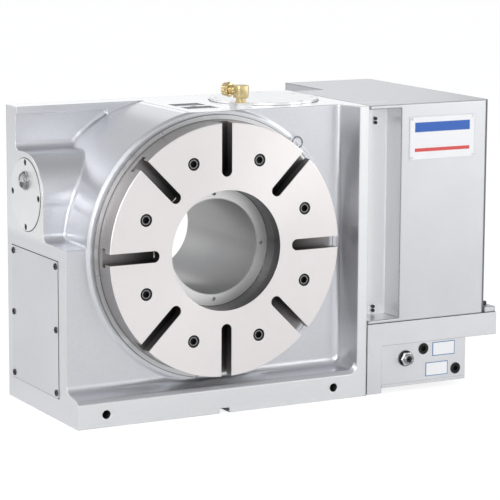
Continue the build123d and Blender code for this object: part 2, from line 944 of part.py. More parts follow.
def worm_bores():
    """The upright bores for the worm, its bearings and its seal."""
    bores = rod_z(worm_bore_radius, lower_bearing_bottom, body_top + past, worm_x, worm_axis_y)
    bores += rod_z(worm_seal_outer, worm_seal_bottom, lower_bearing_bottom + past, worm_x, worm_axis_y)
    return bores + rod_z(worm_journal_radius + running_gap, gear_room_top - past, worm_seal_bottom + past,
                         worm_x, worm_axis_y)


def booster_bores():
    """The booster's cover seat, cylinder and rod bore in the left boss."""
    y, z = booster_centre
    seat = rod_x(booster_cover_radius + hatch_gap, body_left - past, booster_x, y, z)
    seat += rod_x(booster_bore_radius, booster_x - past, body_left + booster_bore_depth, y, z)
    rod_end = booster_x + booster_spigot_length + booster_piston_length + booster_rod_length
    rod_stop = rod_end + booster_stroke + booster_rod_room
    seat += rod_x(booster_rod_radius + fit_clearance, booster_x, rod_stop, y, z)
    return cut_holes(seat, booster_screw_places(), m6, m6_thread_depth)


def cut_holes(tool, places, size, length):
    """Adds plain screw holes to a cutting tool."""
    for place in places:
        tool += place * screw_hole(size, length)
    return tool


def booster_screw_places():
    """Locations of the booster cover's screws, heads to the left."""
    y0, z0 = booster_centre
    points = circle_places(booster_screw_circle, booster_screw_count)
    x = left_face + m6[1] + booster_screw_sink
    return [facing_left(x, y0 + y, z0 + z) for y, z in points]


def hatch_screw_places():
    """Locations of the rectangular hatch's screws, heads to the left."""
    inset_y, inset_z = hatch_screw_insets
    ys = (hatch_front + inset_y, hatch_rear - inset_y)
    zs = (hatch_top - inset_z, (hatch_top + hatch_bottom) / 2, hatch_bottom + inset_z)
    x = left_face + m6[1] - hatch_screw_proud
    return [facing_left(x, y, z) for y in ys for z in zs]


def hatch_bores():
    """The hatch's seat and the valve room behind it."""
    seat = block(body_left - past, left_face + hatch_thickness,
                 hatch_front - hatch_gap, hatch_rear + hatch_gap,
                 hatch_bottom - hatch_gap, hatch_top + hatch_gap)
    seat += block(body_left, body_left + hatch_room_depth,
                  hatch_front + hatch_margin, hatch_rear - hatch_margin,
                  hatch_bottom + hatch_margin, hatch_top - hatch_margin)
    return cut_holes(seat, hatch_screw_places(), m6, hatch_screw_length + past)


def collar_screw_points():
    """Points (x, z) of the collar's holes; the first takes the pull pin."""
    return circle_places(table_radius + collar_hole_reach, collar_hole_count, collar_hole_first_angle)


def rear_screw_places():
    """Locations of the rear housing's screws, heads to the back."""
    points = circle_places(rear_screw_circle, rear_screw_count, rear_screw_first_angle)
    return [facing_back(x, body_rear + rear_flange_thickness - m8[1], z) for x, z in points]


def side_bolt_places():
    """Locations of the bolts that hold the drive housing to the casting, heads to the right."""
    front_inset, top_inset, bottom_inset = side_bolt_insets
    x = foot_right - m8[1] - side_bolt_sink
    ys = (drive_front + front_inset, gearbox_rear + side_bolt_overrun)
    zs = (plate_top - top_inset, foot_bottom + bottom_inset)
    return [Pos(x, y, z) * Rot(0, 90, 0) for y in ys for z in zs]


def make_casting():
    """The main casting with its bores, rooms and tapped holes."""
    casting = casting_form()
    casting -= spindle_bores()
    casting -= worm_bores()
    casting -= gear_room()
    casting -= booster_bores()
    casting -= hatch_bores()
    half_key = keyway_width / 2
    casting -= block(-half_key, half_key, base_front - past, body_rear + past,
                     -centre_height - past, -centre_height + keyway_depth)
    for x in front_hole_places:
        z = -centre_height + front_hole_height
        casting -= rod_y(front_hole_radius, base_front - past, base_front + front_hole_depth, x, z)
    half_x, half_y = lift_pad_size[0] / 2, lift_pad_size[1] / 2
    for y in lift_pad_ys:
        casting -= block(lift_pad_x - half_x, lift_pad_x + half_x, y - half_y, y + half_y,
                         body_top - lift_pad_sink, body_top + past)
    casting -= rod_z(lift_hole_radius, body_top - lift_hole_depth, body_top + past, lift_pad_x, lift_hole_y)
    for x, z in collar_screw_points():
        casting -= rod_y(pin_radius + seat_clearance, collar_boss_front - past,
                         collar_boss_front + pin_depth, x, z)
    casting = cut_all(casting, rear_screw_places(), screw_hole(m8, m8_thread_depth))
    casting = cut_all(casting, side_bolt_places(), screw_hole(m8, side_bolt_length + past))
    return cut_all(casting, worm_cap_screw_places(), screw_hole(m4, m4_thread_depth))


# Front collar and pull pin

def make_collar():
    """The steel ring round the table's back edge."""
    ring = ring_y(collar_inner, collar_outer, collar_boss_front - collar_thickness, collar_boss_front)
    for x, z in collar_screw_points():
        ring -= rod_y(pin_radius + seat_clearance, collar_boss_front - collar_thickness - past,
                      collar_boss_front + past, x, z)
    return ring


def make_collar_screws():
    """Grub screws in the collar, below its face."""
    points = collar_screw_points()[1:]
    middle = collar_boss_front - collar_thickness + grub_sink + grub_length / 2
    socket = extrude(RegularPolygon(pin_radius / 2, 6), grub_length)
    screw = Cylinder(pin_radius, grub_length) - Pos(0, 0, grub_length / 2 - grub_key_depth) * socket
    return set_of([facing_front(x, middle, z) for x, z in points], screw)


def make_pull_pin():
    """The parked locating pin with its ring handle."""
    x, z = collar_screw_points()[0]
    face = collar_boss_front - collar_thickness
    pin = rod_y(pin_radius, face - pin_reach, collar_boss_front + pin_depth - pin_tip_gap, x, z)
    head_y = face - pin_reach / 2
    pin += rod_y(pin_head_radius, face - pin_reach, face - pin_head_gap, x, z)
    ring = Pos(x, head_y, z + ring_rise) * Rot(90, 0, 0) * Torus(ring_radius, ring_wire)
    return pin + ring


# Rear housing

def make_rear_housing():
    """The rear bearing housing: a flange on the casting's back with a sleeve inside."""
    bearing_end = rear_bearing_start + rear_bearing_width
    flange_end = body_rear + rear_flange_thickness
    seal_start = flange_end - rear_seal_length
    housing = turned_y(
        (rear_outer_radius + fit_clearance, rear_bearing_start),
        (cavity_radius - fit_clearance, rear_bearing_start),
        (cavity_radius - fit_clearance, body_rear),
        (rear_flange_radius, body_rear),
        (rear_flange_radius, flange_end),
        (rear_seal_outer, flange_end),
        (rear_seal_outer, seal_start),
        (rear_journal_radius + 2 * running_gap, seal_start),
        (rear_journal_radius + 2 * running_gap, bearing_end),
        (rear_outer_radius + fit_clearance, bearing_end),
    )
    return cut_all(housing, rear_screw_places(),
                   screw_hole(m8, rear_flange_thickness, m8[1] + past))


# Drive housing

def gear_cover_screw_places():
    """Locations of the gear cover's screws, heads down."""
    inset = gear_cover_screw_inset
    xs = (foot_right + inset, (foot_right + gearbox_right) / 2, gearbox_right - inset)
    ys = (gearbox_front + plug_depth + gear_cover_screw_gap, gearbox_rear - inset)
    return [facing_down(x, y, gearbox_bottom) for x in xs for y in ys]


def motor_screw_places():
    """Locations of the motor's screws on its flange."""
    half = motor_screw_pitch / 2
    return [facing_up(motor_x + i * half, worm_axis_y + j * half, motor_body_bottom)
            for i in (-1, 1) for j in (-1, 1)]


def air_fitting_point():
    """The point (x, z) of the hose fitting on the gearbox's front."""
    return motor_x + air_fitting_offset, air_fitting_height - centre_height


def plug_points():
    """The points (x, z) of the two oil ports on the gearbox's front."""
    return [(motor_x + x, height - centre_height) for x, height in zip(plug_offsets, plug_heights)]


def make_drive_housing():
    """The bracket that carries the motor, with the gearbox below it."""
    housing = block(side_left, plate_right, drive_front, cover_rear, plate_bottom, plate_top)
    housing += block(side_left, foot_right, drive_front, gearbox_rear + foot_overrun,
                     foot_bottom, plate_bottom + past)
    housing += block(foot_right - past, gearbox_right, gearbox_front, gearbox_rear,
                     gearbox_bottom + gear_cover_thickness, plate_bottom + past)
    housing -= gear_room()
    left_inset, right_inset, front_inset, rear_inset = gearbox_opening_insets
    housing -= block(foot_right + left_inset, gearbox_right - right_inset, drive_front + front_inset,
                     gearbox_rear - rear_inset, gearbox_bottom, gear_room_bottom + past)
    housing -= rod_z(motor_pilot_radius + fit_clearance, plate_top - motor_pilot_height - running_gap,
                     plate_top + past, motor_x, worm_axis_y)
    housing -= rod_z(motor_shaft_radius + shaft_room, gear_room_top - past, plate_top, motor_x, worm_axis_y)
    housing -= rod_z(idler_pin_radius, gear_room_top - past, plate_bottom + idler_pin_seat,
                     idler_x, worm_axis_y)
    housing = cut_all(housing, motor_screw_places(), screw_hole(m8, motor_screw_length + m8_thread_end))
    housing = cut_all(housing, gear_cover_screw_places(), screw_hole(m4, gear_cover_thread_depth))
    housing = cut_all(housing, side_bolt_places(), screw_hole(m8, side_bolt_access, side_bolt_access))
    for x, z in plug_points():
        housing -= rod_y(plug_radius, gearbox_front - past, gearbox_front + plug_depth, x, z)
    x, z = air_fitting_point()
    housing -= rod_y(air_fitting_bore + air_fitting_wall, gearbox_front - past,
                     gearbox_front + plug_depth, x, z)
    for x, y in foot_screw_points():
        housing -= rod_z(m6[2] + hole_clearance, plate_top - m6_thread_depth, plate_top + past, x, y)
    return housing


def foot_screw_points():
    """Points (x, y) of the screws in the motor cover's foot."""
    x = cover_right + cover_foot_width / 2
    middle = (drive_front + cover_rear) / 2
    return [(x, drive_front + foot_screw_inset), (x, middle), (x, cover_rear - foot_screw_inset)]


def make_gear_cover():
    """The plate that closes the gearbox from below."""
    cover = block(foot_right + gear_cover_gap, gearbox_right, gearbox_front, gearbox_rear,
                  gearbox_bottom, gearbox_bottom + gear_cover_thickness)
    hole = Pos(0, 0, -m4[1]) * screw_hole(m4, gear_cover_thickness, m4[1] + past)
    return cut_all(cover, gear_cover_screw_places(), hole)


def make_idler_pin():
    """The fixed pin that the idler turns on."""
    head_top = gear_bottom - running_gap
    pin = rod_z(idler_pin_radius - fit_clearance, head_top - past, plate_bottom + idler_pin_seat,
                idler_x, worm_axis_y)
    return pin + rod_z(idler_pin_head_radius, head_top - idler_pin_head, head_top, idler_x, worm_axis_y)


# Motor

def rounded_box(size, z_from, z_to, x, y, corner):
    """An upright box with rounded corners."""
    outline = RectangleRounded(size, size, corner)
    return Pos(x, y, z_from) * extrude(outline, z_to - z_from)


def make_motor():
    """The servo motor's housing with its flange, pilot and encoder cap."""
    neck_top = motor_body_bottom + motor_neck_height
    motor = rounded_box(motor_flange_size, plate_top, motor_body_bottom,
                        motor_x, worm_axis_y, motor_flange_corner)
    motor += rounded_box(motor_neck_size, motor_body_bottom, neck_top, motor_x, worm_axis_y, motor_corner)
    motor += rounded_box(motor_body_size, neck_top, motor_body_top, motor_x, worm_axis_y, motor_corner)
    motor += rounded_box(encoder_size, motor_body_top, motor_body_top + encoder_height,
                         motor_x, worm_axis_y, motor_corner)
    motor += rod_z(motor_pilot_radius, plate_top - motor_pilot_height, plate_top, motor_x, worm_axis_y)
    motor -= rod_z(motor_shaft_radius + 2 * fit_clearance, plate_top - motor_pilot_height - past,
                   plate_top + motor_shaft_reach + past, motor_x, worm_axis_y)
    pocket = Pos(0, 0, motor_neck_height / 2) * Cylinder(m8[0] + motor_screw_pocket, motor_neck_height)
    motor = cut_all(motor, motor_screw_places(), pocket)
    return cut_all(motor, motor_screw_places(), screw_hole(m8, motor_flange_thickness))


def make_motor_shaft():
    """The motor's shaft, down to the pinion."""
    return rod_z(motor_shaft_radius, gear_bottom - gear_shaft_overrun, plate_top + motor_shaft_reach,
                 motor_x, worm_axis_y)


def cable_plug(radius, back, z):
    """A round cable plug that points to the back."""
    waist = back + motor_plug_length
    plug = rod_y(radius, back, waist, motor_x, z)
    return plug + rod_y(radius - motor_plug_step, waist - past, waist + motor_plug_tail, motor_x, z)


def make_motor_plugs():
    """The two cable plugs on the motor's back: power on its body, signals on its encoder."""
    power_radius, signal_radius = motor_plug_radii
    power = cable_plug(power_radius, worm_axis_y + motor_body_size / 2, motor_body_top - motor_plug_drop)
    signal = cable_plug(signal_radius, worm_axis_y + encoder_size / 2, motor_body_top + encoder_height / 2)
    return Compound(children=[power, signal])


# Motor cover

def cover_plan(inset):
    """The cover's outline from above, drawn in by inset."""
    left = side_left + inset
    box_left = groove_right + inset
    right = cover_right - inset
    front = drive_front + inset
    back = cover_rear - inset
    step = body_rear - cover_back_step - inset
    outline = Polyline(
        (left, front), (right, front), (right, back), (box_left, back), (box_left, step), (left, step),
        close=True,
    )
    face = make_face(outline)
    corners = points_near(face, right, front) + points_near(face, right, back)
    return fillet(corners, cover_corner - inset)


def make_motor_cover():
    """The sheet-metal cover over the motor, with the screw groove beside the casting."""
    height = body_top - plate_top
    cover = Pos(0, 0, plate_top) * extrude(cover_plan(0), height)
    room = Pos(0, 0, plate_top - past) * extrude(cover_plan(cover_wall), height + past - cover_wall)
    wall_keep = block(side_left - past, groove_right + cover_wall, drive_front - past,
                      groove_back + cover_wall, plate_top - 2 * past, body_top + past)
    cover -= room - wall_keep
    cover -= block(side_left - past, groove_right, drive_front - past, groove_back,
                   plate_top + groove_shelf, body_top - groove_shelf)
    foot_top = plate_top + cover_foot_height
    foot = block(cover_right - cover_foot_overlap, cover_right + cover_foot_width, drive_front, cover_rear,
                 plate_top, foot_top)
    cover += foot - room
    for x, y in foot_screw_points():
        cover -= rod_z(m6[2] + hole_clearance, plate_top - past, foot_top + past, x, y)
    for x, z in groove_screw_points():
        cover -= rod_y(m3[2] + hole_clearance, groove_back - past, groove_back + cover_wall + past, x, z)
    x, z = socket_point()
    return cover - rod_y(socket_radius - socket_wall + hole_clearance, cover_rear - cover_wall - past,
                         cover_rear + past, x, z)


def groove_screw_points():
    """Points (x, z) of the small screws in the cover's groove, in pairs at its ends."""
    x = groove_right - groove_screw_inset
    upper = [(x, body_top - drop) for drop in groove_screws_from_top]
    return upper + [(x, plate_top + rise) for rise in groove_screws_from_plate]


def make_cover_screws():
    """The screws of the motor cover: on its foot and in its groove."""
    top = plate_top + cover_foot_height
    foot_screw = socket_screw(m6, foot_screw_length)
    small_screw = socket_screw(m3, groove_screw_length)
    screws = [facing_up(x, y, top) * copy_of(foot_screw) for x, y in foot_screw_points()]
    screws += [facing_front(x, groove_back, z) * copy_of(small_screw) for x, z in groove_screw_points()]
    return Compound(children=screws)


def badge_point():
    """The middle (x, z) of the blank plate on the cover's front."""
    offset, drop = badge_offset
    return motor_x + offset, body_top - drop


def make_badge():
    """The blank plate on the cover's front."""
    x, z = badge_point()
    half_x, half_z = badge_size[0] / 2, badge_size[1] / 2
    return block(x - half_x, x + half_x, drive_front - badge_thickness, drive_front, z - half_z, z + half_z)


def make_badge_rivets():
    """The four rivets of the blank plate."""
    x0, z0 = badge_point()
    half_x, half_z = badge_size[0] / 2 - badge_rivet_inset, badge_size[1] / 2 - badge_rivet_inset
    front = drive_front - badge_thickness
    rivet = rod_y(badge_rivet_radius, front - badge_rivet_height, front)
    return set_of([Pos(x0 + i * half_x, 0, z0 + j * half_z) for i in (-1, 1) for j in (-1, 1)], rivet)


def make_labels():
    """The two small blank plates beside the ports."""
    half_x, half_z = label_size[0] / 2, label_size[1] / 2
    plate = block(-half_x, half_x, gearbox_front - label_thickness, gearbox_front, -half_z, half_z)
    places = [Pos(motor_x + x, 0, height - centre_height) for x, height in zip(label_offsets, label_heights)]
    return set_of(places, plate)


# Ports and fittings

def make_air_fitting():
    """The chrome hose fitting on the gearbox's front: a rim, a hexagon, a round nose and a bore."""
    x, z = air_fitting_point()
    hexagon_front = gearbox_front - air_fitting_rim - air_fitting_hexagon
    nose_front = gearbox_front - air_fitting_length
    fitting = rod_y(air_fitting_rim_radius, gearbox_front - air_fitting_rim, gearbox_front, x, z)
    hexagon = extrude(RegularPolygon(air_fitting_radius, 6), air_fitting_rim + air_fitting_hexagon)
    fitting += facing_front(x, gearbox_front, z) * hexagon
    fitting += rod_y(air_fitting_nose_radius, nose_front, hexagon_front + past, x, z)
    fitting += rod_y(air_fitting_bore + air_fitting_wall - fit_clearance, gearbox_front - past,
                     gearbox_front + plug_depth - plug_end_gap, x, z)
    return fitting - rod_y(air_fitting_bore, nose_front - past, gearbox_front + plug_depth, x, z)


def make_port_plugs():
    """The two socket plugs of the oil ports."""
    plug = rod_y(plug_radius - fit_clearance, gearbox_front - plug_proud,
                 gearbox_front + plug_depth - plug_end_gap)
    key = extrude(RegularPolygon(plug_key / 2, 6, major_radius=False), plug_key_depth + past)
    plug -= facing_front(0, gearbox_front + plug_key_depth, 0) * key
    return set_of([Pos(x, 0, z) for x, z in plug_points()], plug)


def make_port_block():
    """The square seat of the elbow on top of the casting."""
    x, y = port_block_place
    half = port_block_size / 2
    return block(x - half, x + half, y - half, y + half, body_top, body_top + port_block_height)


def elbow_axis():
    """The place and heading of the elbow's arm; along it, +Y leads out of the port."""
    x, y = port_block_place
    return Pos(x, y, body_top + port_block_height + elbow_arm_height) * Rot(0, 0, elbow_turn)


def make_elbow():
    """The brass elbow fitting on the port block."""
    x, y = port_block_place
    base = body_top + port_block_height
    half = elbow_size / 2
    body_bottom = base + elbow_stand_height
    stand = rod_z(elbow_stand_radius, base, body_bottom + past, x, y)
    body = block(x - half, x + half, y - half, y + half, body_bottom, base + elbow_height)
    body = chamfer(body.edges().filter_by(Axis.Z), elbow_corner)
    arm = elbow_axis() * rod_y(elbow_arm_radius, 0, elbow_arm_length)
    port = elbow_axis() * rod_y(elbow_bore, elbow_arm_length - elbow_bore_depth, elbow_arm_length + past)
    return stand + body + arm - port


def make_elbow_nut():
    """The hexagonal nut on the elbow's arm."""
    nut = extrude(RegularPolygon(elbow_nut_size / 2, 6, major_radius=False), elbow_nut_length)
    nut -= Pos(0, 0, elbow_nut_length / 2) * Cylinder(elbow_arm_radius + fit_clearance,
                                                      elbow_nut_length + past)
    return elbow_axis() * facing_front(0, elbow_arm_length - elbow_nut_overlap, 0) * nut


def make_sight_glass_ring():
    """The threaded bezel of the oil sight glass."""
    y, z = sight_centre
    ring = rod_x(sight_radius, left_face - sight_height, left_face, y, z)
    return ring - rod_x(sight_glass_radius, left_face - sight_height - past, left_face + past, y, z)


def make_sight_glass():
    """The clear window in the bezel."""
    y, z = sight_centre
    front = left_face - sight_height + sight_glass_sink
    return rod_x(sight_glass_radius - fit_clearance, front, left_face, y, z)


def make_booster_cover():
    """The round cover of the booster cylinder."""
    y, z = booster_centre
    cover = rod_x(booster_cover_radius, left_face, booster_x, y, z)
    cover += rod_x(booster_bore_radius - fit_clearance, booster_x - past,
                   booster_x + booster_spigot_length, y, z)
    hole = screw_hole(m6, booster_cover_thickness, m6[1] + 2 * past)
    return cut_all(cover, booster_screw_places(), hole)


def make_booster_piston():
    """The booster's air piston with its oil plunger."""
    y, z = booster_centre
    start = booster_x + booster_spigot_length + running_gap
    end = start + booster_piston_length
    piston = rod_x(booster_bore_radius - fit_clearance, start, end, y, z)
    return piston + rod_x(booster_rod_radius, start, end + booster_rod_length - booster_rod_room / 2, y, z)


def make_hatch():
    """The rectangular hatch on the left face."""
    hatch = block(left_face, left_face + hatch_thickness, hatch_front, hatch_rear, hatch_bottom, hatch_top)
    hatch = fillet(hatch.edges().filter_by(Axis.X), hatch_corner)
    return cut_all(hatch, hatch_screw_places(), screw_hole(m6, hatch_thickness, m6[1] + past))


def socket_point():
    """The middle (x, z) of the cable socket on the cover's back."""
    return motor_x + socket_offset, body_top - socket_drop


def make_socket():
    """The cable socket on the cover's back."""
    x, z = socket_point()
    flange_end = cover_rear + socket_flange
    end = cover_rear + socket_length
    socket = rod_y(socket_radius, cover_rear, flange_end, x, z)
    socket += rod_y(socket_radius - socket_wall, cover_rear - cover_wall, end, x, z)
    return socket - rod_y(socket_radius - 2 * socket_wall, flange_end + past, end + past, x, z)


def parts():
    """Every piece of the rotary table by name."""
    gear_bore = gear_shaft_radius + fit_clearance
    upper_bottom = upper_bearing_top - worm_bearing_width
    lower_top = lower_bearing_bottom + worm_bearing_width
    bearing_bore = worm_journal_radius + fit_clearance
    front_width = bearing_web - bearing_front
    return {
        "main_casting": make_casting(),
        "faceplate": make_faceplate(),
        "faceplate_screws": make_faceplate_screws(),
        "spindle": make_spindle(),
        "collar": make_collar(),
        "collar_screws": make_collar_screws(),
        "pull_pin": make_pull_pin(),
        "front_bearing_inner": bearing_ring(front_journal_radius + fit_clearance, front_race_in,
                                            bearing_front, front_width),
        "front_bearing_rollers": roller_set(front_race_in, front_race_out, bearing_front, front_width,
                                            front_roller_count),
        "front_bearing_outer": bearing_ring(front_race_out, front_outer_radius - fit_clearance,
                                            bearing_front, front_width),
        "brake_cylinder": make_brake_cylinder(),
        "brake_piston": make_brake_piston(),
        "brake_disc": make_brake_disc(),
        "brake_disc_screws": set_of(disc_screw_places(), socket_screw(m6, disc_screw_length)),
        "brake_reaction_ring": make_brake_reaction_ring(),
        "worm_wheel": make_worm_wheel(),
        "worm_wheel_screws": set_of(wheel_screw_places(), socket_screw(m6, wheel_width)),
        "worm_shaft": make_worm_shaft(),
        "worm_upper_bearing": ring_z(bearing_bore, worm_bearing_outer, upper_bottom, upper_bearing_top,
                                     worm_x, worm_axis_y),
        "worm_lower_bearing": ring_z(bearing_bore, worm_bore_radius - fit_clearance,
                                     lower_bearing_bottom, lower_top, worm_x, worm_axis_y),
        "worm_seal": ring_z(bearing_bore, worm_seal_outer - fit_clearance, worm_seal_bottom,
                            worm_seal_bottom + worm_seal_length, worm_x, worm_axis_y),
        "worm_cap": make_worm_cap(),
        "worm_cap_screws": set_of(worm_cap_screw_places(), socket_screw(m4, worm_cap_screw_length)),
        "rear_bearing_inner": bearing_ring(rear_journal_radius + fit_clearance, rear_race_in,
                                           rear_bearing_start, rear_bearing_width),
        "rear_bearing_rollers": roller_set(rear_race_in, rear_race_out, rear_bearing_start,
                                           rear_bearing_width, rear_roller_count),
        "rear_bearing_outer": bearing_ring(rear_race_out, rear_outer_radius,
                                           rear_bearing_start, rear_bearing_width),
        "rear_housing": make_rear_housing(),
        "rear_housing_screws": set_of(rear_screw_places(), socket_screw(m8, rear_screw_length)),
        "rear_seal": ring_y(rear_journal_radius + 2 * fit_clearance, rear_seal_outer - fit_clearance,
                            body_rear + rear_flange_thickness - rear_seal_length,
                            body_rear + rear_flange_thickness - rear_seal_sink),
        "worm_gear": spur_gear(worm_gear_teeth, gear_bore, worm_x, 0.0),
        "idler_gear": spur_gear(idler_teeth, idler_pin_radius + fit_clearance, idler_x, idler_turn()),
        "idler_pin": make_idler_pin(),
        "motor_pinion": spur_gear(pinion_teeth, motor_shaft_radius + fit_clearance, motor_x, pinion_turn()),
        "motor_shaft": make_motor_shaft(),
        "motor": make_motor(),
        "motor_screws": set_of(motor_screw_places(), socket_screw(m8, motor_screw_length)),
        "motor_cable_plugs": make_motor_plugs(),
        "drive_housing": make_drive_housing(),
        "drive_housing_bolts": set_of(side_bolt_places(), socket_screw(m8, side_bolt_length)),
        "gear_cover": make_gear_cover(),
        "gear_cover_screws": set_of([place * Pos(0, 0, -m4[1]) for place in gear_cover_screw_places()],
                                    socket_screw(m4, gear_cover_screw_length)),
        "motor_cover": make_motor_cover(),
        "motor_cover_screws": make_cover_screws(),
        "badge_plate": make_badge(),
        "badge_rivets": make_badge_rivets(),
        "port_labels": make_labels(),
        "air_fitting": make_air_fitting(),
        "port_plugs": make_port_plugs(),
        "cable_socket": make_socket(),
        "port_block": make_port_block(),
        "elbow": make_elbow(),
        "elbow_nut": make_elbow_nut(),
        "hatch": make_hatch(),
        "hatch_screws": set_of(hatch_screw_places(), socket_screw(m6, hatch_screw_length)),
        "booster_cover": make_booster_cover(),
        "booster_cover_screws": set_of(booster_screw_places(), socket_screw(m6, booster_screw_length)),
        "booster_piston": make_booster_piston(),
        "sight_glass_ring": make_sight_glass_ring(),
        "sight_glass": make_sight_glass(),
    }


os.makedirs("parts", exist_ok=True)
for name, piece in parts().items():
    export_step(piece, os.path.join("parts", name + ".step"))
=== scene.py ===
"""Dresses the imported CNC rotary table: finishes, small detail pieces, studio and camera."""

import logging
import math
from dataclasses import dataclass
from enum import Enum
from typing import Iterable, Optional, Sequence

import bmesh
import bpy
from mathutils import Matrix, Vector


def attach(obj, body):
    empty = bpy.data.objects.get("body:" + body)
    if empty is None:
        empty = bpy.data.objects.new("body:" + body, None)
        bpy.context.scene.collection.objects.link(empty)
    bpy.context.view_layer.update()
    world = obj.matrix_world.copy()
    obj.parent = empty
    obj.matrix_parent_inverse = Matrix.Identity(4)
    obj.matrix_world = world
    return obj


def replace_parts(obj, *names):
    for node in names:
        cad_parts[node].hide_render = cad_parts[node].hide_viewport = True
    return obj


log = logging.getLogger("rotary_table")

MM = 0.001
SMOOTH_BELOW = math.radians(32)
Colour = tuple[float, float, float]
Point = tuple[float, float, float]
Socket = bpy.types.NodeSocket
Thing = bpy.types.Object
WHITE: Colour = (1.0, 1.0, 1.0)
# Colour of the rings painted dark in the turned steel: painted shade.
PAINTED_SHADE: Colour = (0.05, 0.05, 0.052)
# Near white painted on the cover's groove wall: painted light.
PAINTED_GROOVE_LIGHT: Colour = (0.99, 0.99, 0.99)


def shade(colour: Colour, factor: float) -> Colour:
    """A colour made lighter or darker, at most white."""
    return tuple(min(1.0, part * factor) for part in colour)


class Way(Enum):
    """Where a piece's own +Z is laid in the part's frame, as a turn in degrees about an axis."""

    LEFT = (-90.0, "Y")
    BACK = (-90.0, "X")
    FRONT = (90.0, "X")
    DOWN = (180.0, "X")

    def turn(self) -> Matrix:
        """The rotation that lays +Z that way."""
        angle, axis = self.value
        return Matrix.Rotation(math.radians(angle), 4, axis)


class Look(Enum):
    """What a new piece is made of: the name of its finish and of its material slot."""

    BRASS = ("yellow_brass", "brass")
    NICKEL = ("satin_nickel", "chrome")
    CHROME = ("bright_chrome", "chrome")
    KNURLED = ("knurled_chrome", "chrome")
    BLACKED = ("blacked_steel", "dark_screws")
    RUBBER = ("black_rubber", "seal_rubber")


